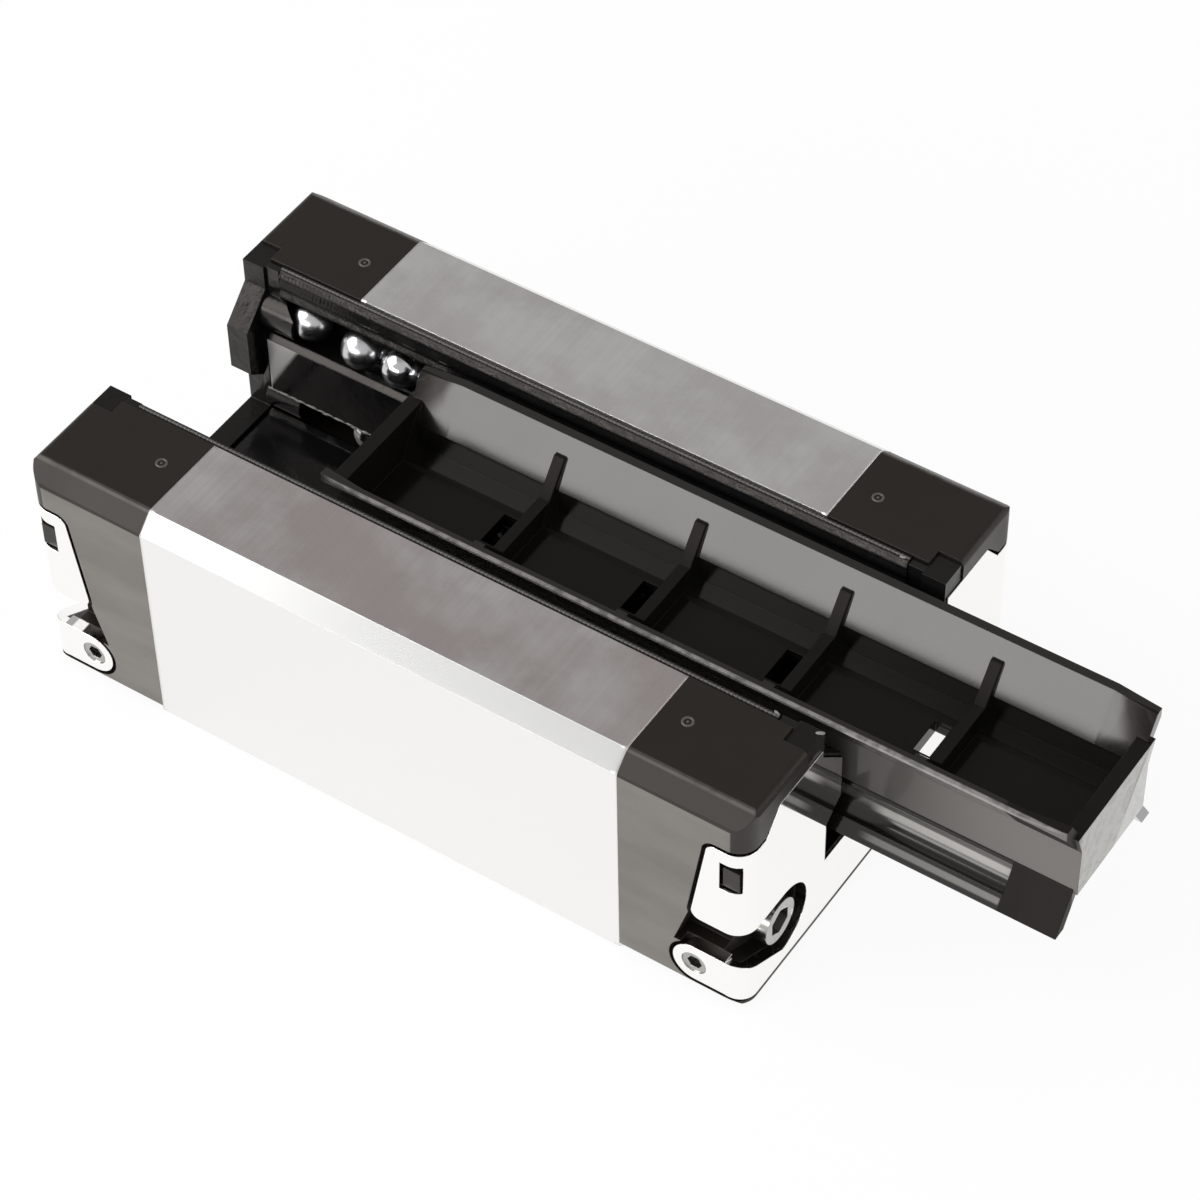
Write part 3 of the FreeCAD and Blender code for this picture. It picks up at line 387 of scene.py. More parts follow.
def grinding_group():
    """Grinding lines: across the leg tips, along the rail on the sides."""
    group, _, end = shader_group("Grinding Lines", {}, ("Height", "Streak", "Cloud"))
    upright = math_node(group, "ABSOLUTE", normal_parts(group)["Z"])
    level = math_node(group, "GREATER_THAN", upright, 0.8)
    values = {}
    for label, across, along in (("Height", 9000.0, 160.0), ("Streak", 2600.0, 35.0)):
        top, side = (noise_node(group, place_node(group, stretch), 1.0)
                     for stretch in ((across, along, along), (along, across, across)))
        mix = group.nodes.new("ShaderNodeMix")
        group.links.new(level, mix.inputs["Factor"])
        group.links.new(side, mix.inputs["A"])
        group.links.new(top, mix.inputs["B"])
        values[label] = mix.outputs["Result"]
    group.links.new(values["Height"], end.inputs["Height"])
    group.links.new(ramp_node(group, values["Streak"], 0.3, 0.7), end.inputs["Streak"])
    cloud = noise_node(group, place_node(group), 140.0, 5.0, 0.65)
    group.links.new(ramp_node(group, cloud, 0.3, 0.7), end.inputs["Cloud"])
    return group


def oil_group():
    """Uneven film of oil: ripples for the height, patches for the gloss."""
    group, start, end = shader_group("Oil Film", {"Scale": 900.0}, ("Height", "Patch"))
    place = place_node(group)
    group.links.new(noise_node(group, place, start.outputs["Scale"], 4.0, 0.6), end.inputs["Height"])
    patch = noise_node(group, place, product(group, start.outputs["Scale"], 0.35))
    group.links.new(ramp_node(group, patch, 0.35, 0.65), end.inputs["Patch"])
    return group


def scratch_group():
    """Sparse hair scratches in two directions."""
    group, start, end = shader_group("Hair Scratches", {"Amount": 0.5}, ("Mask",))
    masks = []
    for stretch, turn in (((2400.0, 30.0, 60.0), 0.5), ((40.0, 2000.0, 60.0), -0.35)):
        hairs = noise_node(group, place_node(group, stretch, (0.2, 0.1, turn)), 1.0, 1.0)
        masks.append(ramp_node(group, hairs, 0.70, 0.76))
    group.links.new(product(group, either(group, *masks), start.outputs["Amount"]), end.inputs["Mask"])
    return group


GROUP_MAKERS = {"Edge Rounding": edge_group, "Facing": facing_group, "Places Beyond": beyond_group,
                "Fine Ridges": ridge_group, "Moulding Grain": grain_group, "Grinding Lines": grinding_group,
                "Oil Film": oil_group, "Hair Scratches": scratch_group}


def use_group(material, name, **values):
    """A node of a shared group in a material, made at its first use."""
    group = bpy.data.node_groups.get(name) or GROUP_MAKERS[name]()
    node = material.node_tree.nodes.new("ShaderNodeGroup")
    node.node_tree = group
    for label, value in values.items():
        node.inputs[label].default_value = value
    return node


def beyond(material, way, start, stop):
    """Mask of the places on a piece that rises from start to stop along a direction."""
    node = use_group(material, "Places Beyond", Along=way[0], Across=way[1], Up=way[2], From=start, To=stop)
    return node.outputs["Mask"]


def new_material(name, base, metallic, specular=0.5):
    """A material with one Principled shader, returned with its tree and shader."""
    material = bpy.data.materials.new(name)
    material.use_nodes = True
    shader = material.node_tree.nodes["Principled BSDF"]
    shader.inputs["Base Color"].default_value = (*base, 1.0)
    shader.inputs["Metallic"].default_value = metallic
    shader.inputs["Specular IOR Level"].default_value = specular
    return material, material.node_tree, shader


def add_bump(tree, shader, height, strength, distance, normal=None):
    """Bump from a height value, laid over a normal."""
    bump = tree.nodes.new("ShaderNodeBump")
    bump.inputs["Strength"].default_value = strength
    bump.inputs["Distance"].default_value = distance
    tree.links.new(height, bump.inputs["Height"])
    if normal is not None:
        tree.links.new(normal, bump.inputs["Normal"])
    tree.links.new(bump.outputs["Normal"], shader.inputs["Normal"])


def layer(tree, below, factor, coat):
    """A colour laid over a colour or a colour socket by a factor."""
    mix = tree.nodes.new("ShaderNodeMix")
    mix.data_type = "RGBA"
    tree.links.new(factor, mix.inputs[0])
    feed(tree, below if isinstance(below, bpy.types.NodeSocket) else (*below, 1.0), mix.inputs[6])
    mix.inputs[7].default_value = (*coat, 1.0)
    return mix.outputs[2]


def scaled(base, factor):
    """A colour made lighter or darker."""
    return tuple(min(1.0, part * factor) for part in base)


def plastic(name, base, tint, rough, grain_scale, grain, edge, specular=0.42):
    """Satin moulding with fine grain, cloudy gloss and rounded edges, returned with its edge mask."""
    material, tree, shader = new_material(name, base, 0.0, specular)
    shader.inputs["Specular Tint"].default_value = (*tint, 1.0)
    grains = use_group(material, "Moulding Grain", Scale=grain_scale)
    edges = use_group(material, "Edge Rounding", Radius=edge)
    tree.links.new(fade(tree, grains.outputs["Cloud"], *rough), shader.inputs["Roughness"])
    add_bump(tree, shader, grains.outputs["Height"], grain, 0.04 * MM, edges.outputs["Normal"])
    return material, tree, shader, edges.outputs["Mask"]


def oiled(name, base, tint, rough, ripples, oil, edge, specular=0.4, ridges=None):
    """Wet black surface with an uneven oil film, ridged where a pitch is given, with its edge mask."""
    material, tree, shader = new_material(name, base, 0.0, specular)
    shader.inputs["Specular Tint"].default_value = (*tint, 1.0)
    film = use_group(material, "Oil Film", Scale=ripples)
    edges = use_group(material, "Edge Rounding", Radius=edge)
    tree.links.new(fade(tree, film.outputs["Patch"], *rough), shader.inputs["Roughness"])
    height = film.outputs["Height"]
    if ridges is not None:
        ridge = use_group(material, "Fine Ridges", Pitch=ridges)
        height = math_node(tree, "MULTIPLY_ADD", ridge.outputs["Height"], 0.10, height)
    add_bump(tree, shader, height, oil, 0.12 * MM, edges.outputs["Normal"])
    return material, tree, shader, edges.outputs["Mask"]


def metal(name, base, rough, lines, scratches, edge):
    """Bright metal with faint lines, cloudy gloss and hair scratches."""
    material, tree, shader = new_material(name, base, 1.0)
    grinding = use_group(material, "Grinding Lines")
    hair = use_group(material, "Hair Scratches", Amount=scratches)
    edges = use_group(material, "Edge Rounding", Radius=edge)
    tree.links.new(fade(tree, grinding.outputs["Cloud"], *rough), shader.inputs["Roughness"])
    height = math_node(tree, "SUBTRACT", grinding.outputs["Height"], hair.outputs["Mask"])
    add_bump(tree, shader, height, lines, 0.01 * MM, edges.outputs["Normal"])
    return material


def paint(material, *nodes):
    """Give CAD nodes a material."""
    for name in nodes:
        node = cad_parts[name]
        node.data.materials.clear()
        node.data.materials.append(material)


def smooth_mesh(form, name):
    """A smooth mesh made from a form, which is then let go."""
    mesh = bpy.data.meshes.new(name)
    form.to_mesh(mesh)
    form.free()
    mesh.shade_smooth()
    return mesh


def mesh_piece(name, mesh, material):
    """A new visible piece that rides the block."""
    mesh.materials.append(material)
    piece = bpy.data.objects.new(name, mesh)
    bpy.context.collection.objects.link(piece)
    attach(piece, "block")


def ground_steel(finish):
    """Steel with bright plain sides, and leg tips that carry cross lines and a cloudy film that is partly
    painted shade, with painted shade on the chamfers.
    """
    material, tree, shader = new_material("ground steel", finish.steel, 1.0)
    faces = use_group(material, "Facing").outputs
    lines = use_group(material, "Grinding Lines").outputs
    edges = use_group(material, "Edge Rounding")
    level = faces["Level"]
    flat = math_node(tree, "ADD", math_node(tree, "ADD", level, faces["Across"]), faces["Along"])
    chamfer = without(tree, 1.0, flat)

    # The end edges, next to the caps, are rounder than the long ones.
    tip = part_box("runner_body")[1][0]
    ends = either(tree, *(beyond(material, way, tip - 0.6 * MM, tip - 0.5 * MM) for way in (FRONT, REAR)))
    tree.links.new(fade(tree, ends, finish.steel_round, finish.end_round), edges.inputs["Radius"])

    # The film thickens towards the near leg and thins out at the rear end. Laid on the leg tips only, it is
    # also painted shade that keeps them darker than the bright sides.
    near = beyond(material, NEAR, -18.0 * MM, 18.0 * MM)
    ahead = beyond(material, FRONT, -26.0 * MM, -12.0 * MM)
    stain = product(tree, near, patches(tree, 75.0, 0.35, 0.65, 0.55, 1.0), fade(tree, ahead, 0.45, 1.0))
    film = product(tree, level, math_node(tree, "MULTIPLY_ADD", lines["Cloud"], 0.45, stain), 0.85)
    streak = product(tree, level, lines["Streak"], fade(tree, near, 0.09, 0.24))
    # Painted shade darkens the chamfers, and the film on the leg tips is partly painted shade.
    tone = layer(tree, layer(tree, finish.steel, chamfer, finish.chamfer_shade), film, finish.film)
    tree.links.new(layer(tree, tone, streak, scaled(finish.film, 0.85)), shader.inputs["Base Color"])

    haze = fade(tree, product(tree, lines["Cloud"], level), 0.32, 0.26)
    rough = math_node(tree, "SUBTRACT", haze, product(tree, chamfer, 0.14))
    tree.links.new(rough, shader.inputs["Roughness"])
    add_bump(tree, shader, product(tree, lines["Height"], level), finish.grinding, 0.01 * MM,
             edges.outputs["Normal"])
    return material


class RUNNER_OT_steel(bpy.types.Operator):
    """Finish the ground steel body and its raceways"""
    bl_idname = "runner.steel"
    bl_label = "Finish Steel"

    def execute(self, context):
        finish = context.scene.runner_finish
        track = metal("raceway steel", finish.raceway, rough=(0.12, 0.2), lines=finish.grinding * 0.5,
                      scratches=0.1, edge=finish.sheet_round)
        paint(ground_steel(finish), "runner_body")
        paint(track, *(f"raceway_{side}_{level}" for side in SIDES for level in LEVELS))
        return {"FINISHED"}


def cap_crease(material, sign):
    """Mask of the edge between the top of an end cap and its chamfer on one side."""
    lean = Vector((0.0, sign * math.sin(math.pi / 8), math.cos(math.pi / 8)))
    crest = max(vert.co.dot(lean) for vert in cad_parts["end_cap_front"].data.vertices)
    return beyond(material, lean, crest - 0.04 * MM, crest - 0.01 * MM)


def cap_plastic(finish, side):
    """Black moulding with painted highlights along its creases, and painted grey light on the sides at the
    given distance from the middle.
    """
    material, tree, shader, _ = plastic("cap plastic", finish.cap, finish.warm, rough=(0.36, 0.46),
                                        grain_scale=5200.0, grain=finish.grain, edge=finish.edge_round)
    # Painted highlight along the creases between the top and its chamfers, broken up in patches.
    uneven_glint = patches(tree, 500.0, 0.3, 0.6, 0.4, 1.0)
    creases = either(tree, *(cap_crease(material, sign) for sign in SIDE_SIGN.values()))
    tone = layer(tree, finish.cap, product(tree, creases, uneven_glint), finish.cap_crease_glint)
    # Painted grey light on the outermost sides, in faint bands.
    outermost = either(tree, *(beyond(material, way, side - 0.05 * MM, side - 0.02 * MM)
                               for way in (FAR, NEAR)))
    bands = noise_node(tree, place_node(tree, (60.0, 60.0, 260.0)), 1.0)
    painted_side_light = product(tree, use_group(material, "Facing").outputs["Across"], outermost,
                    ramp_node(tree, bands, 0.3, 0.7, 0.78, 1.0))
    tree.links.new(layer(tree, tone, painted_side_light, finish.painted_cap_light), shader.inputs["Base Color"])
    return material


def crisp_chamfers(mesh, bottom):
    """Shade the small rounded edges of a cap's top chamfers as crisp ones."""
    slope = math.sqrt(0.5)
    ways = [Vector(UP)]
    for sign in SIDE_SIGN.values():
        ways += [Vector((0.0, sign * slope, slope)), Vector((0.0, sign, 0.0))]
    normals = [corner.vector.copy() for corner in mesh.corner_normals]
    for face in mesh.polygons:
        if face.center.z > bottom and abs(face.normal.x) < 0.05 and face.normal.z > -0.05:
            nearest = max(ways, key=face.normal.dot)
            for loop in face.loop_indices:
                normals[loop] = nearest
    mesh.normals_split_custom_set(normals)


def add_ring(form, centre, radius, bead, around=32, section=8):
    """A flat-lying round bead bent into a ring."""
    rows = []
    for step in range(around):
        turn = 2 * math.pi * step / around
        out = Vector((math.cos(turn), math.sin(turn), 0.0))
        row = []
        for part in range(section):
            swing = 2 * math.pi * part / section
            rise = Vector((0.0, 0.0, bead * math.sin(swing)))
            row.append(form.verts.new(centre + out * (radius + bead * math.cos(swing)) + rise))
        rows.append(row)
    for row, after in zip(rows, rows[1:] + rows[:1]):
        for part in range(section):
            follow = (part + 1) % section
            form.faces.new((row[part], after[part], after[follow], row[follow]))


def mould_rings(marks, end, top):
    """Ring marks with a pip in the middle, one on each leg of an end cap."""
    form = bmesh.new()
    for sign in SIDE_SIGN.values():
        centre = Vector((END_SIGN[end] * marks.ring_x, sign * marks.ring_y, top - marks.ring_bead * 0.4))
        add_ring(form, centre, marks.ring_radius, marks.ring_bead)
        bmesh.ops.create_uvsphere(form, u_segments=16, v_segments=10, radius=marks.ring_bead,
                                  matrix=Matrix.Translation(centre))
    return smooth_mesh(form, f"mould_rings_{end}")


class RUNNER_OT_caps(bpy.types.Operator):
    """Finish the end caps and add the ring marks of their mould"""
    bl_idname = "runner.caps"
    bl_label = "Finish End Caps"

    def execute(self, context):
        finish = context.scene.runner_finish
        marks = context.scene.runner_marks
        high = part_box("end_cap_front")[1]
        black = cap_plastic(finish, high[1])
        # Painted highlight: the mould marks are paler than the cap, standing in for the glint on their
        # pips.
        mark = plastic("mould mark", scaled(finish.painted_cap_light, 0.55), finish.warm, rough=(0.16, 0.24),
                       grain_scale=5200.0, grain=finish.grain * 0.3, edge=finish.sheet_round)[0]
        for end in ENDS:
            paint(black, f"end_cap_{end}")
            crisp_chamfers(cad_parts[f"end_cap_{end}"].data, high[2] - CHAMFER_REACH)
            mesh_piece(f"mould_rings_{end}", mould_rings(marks, end, high[2]), mark)
        return {"FINISHED"}


class RUNNER_OT_plates(bpy.types.Operator):
    """Finish the stainless cover plates"""
    bl_idname = "runner.plates"
    bl_label = "Finish Cover Plates"

    def execute(self, context):
        finish = context.scene.runner_finish
        sheet = metal("stainless sheet", finish.stainless, rough=(0.04, 0.08), lines=finish.grinding * 0.05,
                      scratches=0.3, edge=finish.sheet_round)
        paint(sheet, *(f"cover_plate_{end}" for end in ENDS))
        return {"FINISHED"}


class RUNNER_OT_screws(bpy.types.Operator):
    """Finish the end screws and port screws"""
    bl_idname = "runner.screws"
    bl_label = "Finish Screws"

    def execute(self, context):
        finish = context.scene.runner_finish
        satin = metal("screw steel", finish.screw, rough=(0.2, 0.32), lines=finish.grinding * 0.5,
                      scratches=0.2, edge=finish.sheet_round)
        for end in ENDS:
            paint(satin, f"end_screws_{end}", f"side_port_screws_{end}", f"end_port_screw_{end}")
        return {"FINISHED"}


def grease_mesh():
    """Flat drops of grease at the ends of the seal strips, and a thin line of it under the far retainer."""
    drops = list(GREASE_DROPS)
    count, start, pitch, reach = GREASE_LINE
    rear, edge, bottom = (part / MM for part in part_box("ball_retainer_far")[0])
    for step in range(count):
        thick = 0.10 + 0.05 * math.sin(1.9 * step) + 0.03 * math.sin(4.3 * step)
        place = (rear + start + pitch * step, edge - 0.02, bottom + 0.05 * math.sin(2.7 * step))
        drops.append((place, (reach, thick, thick), 0.0))
    form = bmesh.new()
    for place, size, turn in drops:
        shape = (Matrix.Translation(Vector(place) * MM) @ Matrix.Rotation(turn, 4, "Z")
                 @ Matrix.Diagonal((*(Vector(size) * MM), 1.0)))
        bmesh.ops.create_uvsphere(form, u_segments=14, v_segments=8, radius=1.0, matrix=shape)
    return smooth_mesh(form, "grease")


def ridged_bead(name, reach, across, base, radius, pitch, notch=0.72, steps=4, section=6):
    """A half-round bead along the rail, with a shallow notch in each pitch."""
    count = int((reach[1] - reach[0]) / pitch * steps)
    points, faces = [], []
    for row in range(count + 1):
        size = radius if row % steps < steps / 2 else radius * notch
        along = reach[0] + row * pitch / steps
        for part in range(section + 1):
            swing = math.pi * part / section
            points.append((along, across + size * math.cos(swing), base + size * math.sin(swing)))
    wide = section + 1
    for row in range(count):
        for part in range(section):
            first = row * wide + part
            faces.append((first, first + wide, first + wide + 1, first + 1))
    faces.append(tuple(reversed(range(wide))))
    faces.append(tuple(range(count * wide, count * wide + wide)))
    mesh = bpy.data.meshes.new(name)
    mesh.from_pydata(points, [], faces)
    return mesh


class RUNNER_OT_seals(bpy.types.Operator):
    """Finish the rubber end seals and seal strips, and add the strips' beads and the grease"""
    bl_idname = "runner.seals"
    bl_label = "Finish Seals"

    def execute(self, context):
        finish = context.scene.runner_finish
        marks = context.scene.runner_marks
        rubber = oiled("seal rubber", finish.rubber, finish.warm, rough=(0.10, 0.30), ripples=700.0,
                       oil=finish.oil * 2.4, edge=finish.sheet_round, specular=0.28)[0]
        strip = oiled("strip rubber", finish.rubber, finish.warm, rough=(0.16, 0.30), ripples=1500.0,
                      oil=finish.oil, edge=finish.strip_round, specular=0.26, ridges=finish.ridge_pitch)[0]
        # The bead's pale colour is a painted highlight.
        bead = oiled("bead rubber", finish.bead, finish.warm, rough=(0.16, 0.30), ripples=1500.0,
                     oil=finish.oil, edge=finish.sheet_round, specular=0.5)[0]
        grease = oiled("grease", finish.grease, finish.warm, rough=(0.08, 0.20), ripples=1500.0,
                       oil=finish.oil, edge=finish.sheet_round, specular=0.5)[0]
        paint(rubber, *(f"end_seal_{end}" for end in ENDS))
        mesh_piece("grease", grease_mesh(), grease)
        for side in SIDES:
            paint(strip, f"seal_strip_{side}")
            low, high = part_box(f"seal_strip_{side}")
            outer = high[1] - marks.strip_inset if side == "far" else low[1] + marks.strip_inset
            mesh = ridged_bead(f"strip_bead_{side}", (low[0], high[0]), outer, high[2] - 0.02 * MM,
                               marks.strip_bead, finish.ridge_pitch)
            mesh_piece(f"strip_bead_{side}", mesh, bead)
        return {"FINISHED"}


def guide_plastic(name, finish, edge):
    """Oiled black moulding of the guides."""
    return oiled(name, finish.guide, finish.warm, rough=(0.08, 0.26), ripples=700.0, oil=finish.oil,
                 edge=edge)


def retainer_plastic(finish):
    """Oiled moulding with a painted reflection at its open rear end and a painted highlight of grease along
    its lower edge.
    """
    material, tree, shader, edge = guide_plastic("retainer plastic", finish, finish.strip_round)
    low = Vector(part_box("ball_retainer_far")[0])
    start = low.dot(Vector(RETAINER_SLOPE))
    # Painted reflection on the faces at the open rear end.
    open_end = beyond(material, RETAINER_SLOPE, start, start + 0.5 * MM)
    pale = product(tree, use_group(material, "Facing").outputs["Across"], open_end)
    # Painted highlight of grease along the lower edge, broken up in patches.
    bottom = beyond(material, DOWN, -low.z - 0.6 * MM, -low.z - 0.3 * MM)
    grease = product(tree, edge, bottom, patches(tree, 700.0, 0.35, 0.60))
    tone = layer(tree, layer(tree, finish.guide, pale, finish.painted_open_end_light), grease, finish.painted_edge_glint)
    tree.links.new(tone, shader.inputs["Base Color"])
    return material


class RUNNER_OT_guides(bpy.types.Operator):
    """Finish the oiled guides, retainers, liner and turn cores"""
    bl_idname = "runner.guides"
    bl_label = "Finish Guides"

    def execute(self, context):
        finish = context.scene.runner_finish
        wet = guide_plastic("guide plastic", finish, finish.sheet_round)[0]
        paint(wet, "slot_liner")
        paint(retainer_plastic(finish), *(f"ball_retainer_{side}" for side in SIDES))
        for end in ENDS:
            for side in SIDES:
                paint(wet, f"return_guide_{end}_{side}", f"turn_core_{end}_{side}")
        return {"FINISHED"}


def loop_point(balls, distance, track_z, return_z):
    """A point on a ball loop: loaded run towards +X, front turn, return run, rear turn."""
    run = 2 * balls.turn_x
    radius = balls.turn_y - balls.track_y
    turn = math.pi * radius
    distance %= 2 * (run + turn)
    if distance < run:
        return Vector((distance - balls.turn_x, balls.track_y, track_z))
    if distance < run + turn:
        part = (distance - run) / turn
        swing = math.pi * part
        return Vector((balls.turn_x + radius * math.sin(swing), balls.turn_y - radius * math.cos(swing),
                       track_z + (return_z - track_z) * part))
    if distance < 2 * run + turn:
        return Vector((balls.turn_x - (distance - run - turn), balls.turn_y + radius, return_z))
    part = (distance - 2 * run - turn) / turn
    swing = math.pi * part
    return Vector((-balls.turn_x - radius * math.sin(swing), balls.turn_y + radius * math.cos(swing),
                   return_z + (track_z - return_z) * part))


def ball_places(balls, side, level):
    """Centres of the balls of a loop, less those that the CAD nodes already show."""
    track_z = getattr(balls, f"{level}_track")
    return_z = getattr(balls, f"{level}_return")
    pitch = balls.diameter + balls.play
    start = balls.turn_x - balls.lead_x
    count = balls.count
    if (side, level) == ("far", "upper"):
        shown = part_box("balls_far_upper")
        start = shown[1][0] + balls.turn_x + pitch - balls.diameter / 2
        loop = 2 * (2 * balls.turn_x + math.pi * (balls.turn_y - balls.track_y))
        count = int((loop - (shown[1][0] - shown[0][0]) - pitch) / pitch)
    return [loop_point(balls, start + step * pitch, track_z, return_z) for step in range(count)]


def ball_mesh(name, diameter, places):
    """One mesh with a ball at each place."""
    form = bmesh.new()
    bmesh.ops.create_uvsphere(form, u_segments=24, v_segments=16, radius=diameter / 2)
    points = [vert.co.copy() for vert in form.verts]
    faces = [[vert.index for vert in face.verts] for face in form.faces]
    form.free()
    all_points = [point + place for place in places for point in points]
    all_faces = [[index + step * len(points) for index in face]
                 for step in range(len(places)) for face in faces]
    mesh = bpy.data.meshes.new(name)
    mesh.from_pydata(all_points, [], all_faces)
    mesh.shade_smooth()
    return mesh


def ball_steel(finish):
    """Polished steel with patches of oil."""
    material, tree, shader = new_material("ball steel", finish.chrome, 1.0)
    film = use_group(material, "Oil Film", Scale=500.0)
    tree.links.new(fade(tree, film.outputs["Patch"], 0.14, 0.26), shader.inputs["Roughness"])
    add_bump(tree, shader, film.outputs["Height"], 0.3, 0.06 * MM)
    return material


class RUNNER_OT_balls(bpy.types.Operator):
    """Finish the balls that show and fill the rest of the four loops"""
    bl_idname = "runner.balls"
    bl_label = "Fill Ball Rows"

    def execute(self, context):
        balls = context.scene.runner_balls
        material = ball_steel(context.scene.runner_finish)
        paint(material, "balls_far_upper")
        for side in SIDES:
            flip = Vector((1.0, SIDE_SIGN[side], 1.0))
            for level in LEVELS:
                name = f"ball_row_{side}_{level}"
                places = [place * flip for place in ball_places(balls, side, level)]
                mesh_piece(name, ball_mesh(name, balls.diameter, places), material)
        return {"FINISHED"}


def arbor_masks(material):
    """Masks of the places on the arbor that have a finish of their own."""
    low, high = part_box("mounting_arbor")
    # For each mask, the direction in which it rises, and where it starts and is full.
    places = {
        "end": (FRONT, high[0] - 0.2 * MM, high[0] - 0.1 * MM),
        "outwards": (FRONT, 30.0 * MM, 60.0 * MM),
        "far side": (FAR, 5.2 * MM, 5.5 * MM),
        "near side": (NEAR, 5.2 * MM, 5.5 * MM),
        "near rim": (NEAR, -low[1] - 0.45 * MM, -low[1] - 0.30 * MM),
        "lip top": (UP, high[2] - 0.45 * MM, high[2] - 0.3 * MM),
        "past wall": (WALL_SLOPE, 7.57 * MM, 7.66 * MM),
        "web": (WALL_SLOPE, 7.80 * MM, 7.86 * MM),
        "past web": (WALL_SLOPE, 8.22 * MM, 8.28 * MM),
        "above floor": (UP, 17.0 * MM, 17.3 * MM),
        "skirt": (NEAR, 5.68 * MM, 5.74 * MM),
        "past seal": (FRONT, 39.5 * MM, 41.5 * MM),
        "fluted": (REAR, -53.6 * MM, -53.4 * MM),
        "roof": (UP, 12.75 * MM, 13.0 * MM),
        "past roof": (UP, 13.5 * MM, 13.7 * MM),
        "foot": (DOWN, -11.72 * MM, -11.62 * MM),
        "past foot": (DOWN, -11.25 * MM, -11.05 * MM),
    }
    return {name: beyond(material, *place) for name, place in places.items()}


def arbor_tones(finish, material, tree, edge, masks):
    """Colour of the arbor: painted grey light on the outer sides and pale light on the end, painted glints
    in bands of the flutes and a painted glint along the near lip.
    """
    faces = use_group(material, "Facing").outputs
    # Painted grey light on the outer sides, stronger towards the front end.
    outside = product(tree, faces["Across"], either(tree, masks["far side"], masks["near side"]),
                      fade(tree, masks["outwards"], 0.35, 1.0))
    tone = layer(tree, finish.arbor, outside, finish.painted_arbor_light)
    # Painted pale light on the end face, mottled.
    mottle = patches(tree, 1300.0, 0.3, 0.6, 0.78, 1.0)
    tone = layer(tree, tone, product(tree, faces["Along"], masks["end"], mottle), finish.painted_arbor_end_light)
    # Painted glints in two bands along each flute, the upper one the brighter.
    flute = product(tree, masks["skirt"], masks["fluted"], masks["past seal"])
    for name, depth in (("roof", 1.0), ("foot", 0.45)):
        band = without(tree, masks[name], masks[f"past {name}"])
        tone = layer(tree, tone, product(tree, flute, band, depth), finish.polished)
    # Painted glint along the rim and top of the near lip, broken up in patches.
    uneven_glint = patches(tree, 900.0, 0.30, 0.60, 0.45, 1.0)
    rim_faces = either(tree, edge, faces["Across"], faces["Level"])
    return layer(tree, tone, product(tree, rim_faces, masks["near rim"], masks["lip top"], uneven_glint), finish.painted_edge_glint)


def arbor_plastic(finish):
    """Black moulding, oily on its inner wall and flutes, duller on its webs and plain skirt end."""
    material, tree, shader, edge = plastic("arbor plastic", finish.arbor, finish.warm, rough=(0.10, 0.17),
                                           grain_scale=7000.0, grain=finish.grain * 0.3,
                                           edge=finish.edge_round, specular=0.20)
    masks = arbor_masks(material)
    tree.links.new(arbor_tones(finish, material, tree, edge, masks), shader.inputs["Base Color"])
    inner_wall = without(tree, 1.0, masks["past wall"])
    oily = either(tree, inner_wall, product(tree, masks["skirt"], masks["fluted"]))
    tree.links.new(product(tree, oily, finish.arbor_film), shader.inputs["Coat Weight"])
    shader.inputs["Coat Roughness"].default_value = 0.13
    webs = product(tree, without(tree, masks["web"], masks["past web"]), masks["above floor"])
    plain = product(tree, masks["skirt"], without(tree, 1.0, masks["fluted"]))
    clouds = shader.inputs["Roughness"].links[0].from_socket
    rough = math_node(tree, "ADD", clouds, product(tree, either(tree, webs, plain), finish.arbor_dull))
    tree.links.new(rough, shader.inputs["Roughness"])
    return material


class RUNNER_OT_arbor(bpy.types.Operator):
    """Finish the mounting arbor with painted pale light on its end, dull sides and a painted glint on its
    lip
    """
    bl_idname = "runner.arbor"
    bl_label = "Finish Arbor"

    def execute(self, context):
        paint(arbor_plastic(context.scene.runner_finish), "mounting_arbor")
        return {"FINISHED"}


def blend(tree, factor, first, second, output):
    """Mix two shaders by a factor and send the result to an output node."""
    mix = tree.nodes.new("ShaderNodeMixShader")
    for value, socket in zip((factor, first, second), mix.inputs):
        tree.links.new(value, socket)
    tree.links.new(mix.outputs["Shader"], output.inputs["Surface"])


def floor_material(white_share):
    """White floor that shows white to the camera and still takes the shadow."""
    material, tree, shader = new_material("studio floor", (0.93, 0.93, 0.93), 0.0, specular=0.0)
    shader.inputs["Roughness"].default_value = 0.9
    white = tree.nodes.new("ShaderNodeEmission")
    path = tree.nodes.new("ShaderNodeLightPath").outputs
    seen = either(tree, path["Is Camera Ray"], path["Is Glossy Ray"])
    blend(tree, product(tree, seen, white_share), shader.outputs["BSDF"], white.outputs["Emission"],
          tree.nodes["Material Output"])
    return material


def studio_floor(side, material):
    """A level square, a hair below the mounting face so that the two don't coincide."""
    half = side / 2
    mesh = bpy.data.meshes.new("studio_floor")
    mesh.from_pydata([(-half, -half, 0), (half, -half, 0), (half, half, 0), (-half, half, 0)], [],
                     [(0, 1, 2, 3)])
    mesh.materials.append(material)
    floor = bpy.data.objects.new("studio_floor", mesh)
    floor.location.z = cad_box[0][2] - 0.02 * MM
    bpy.context.collection.objects.link(floor)
    return floor


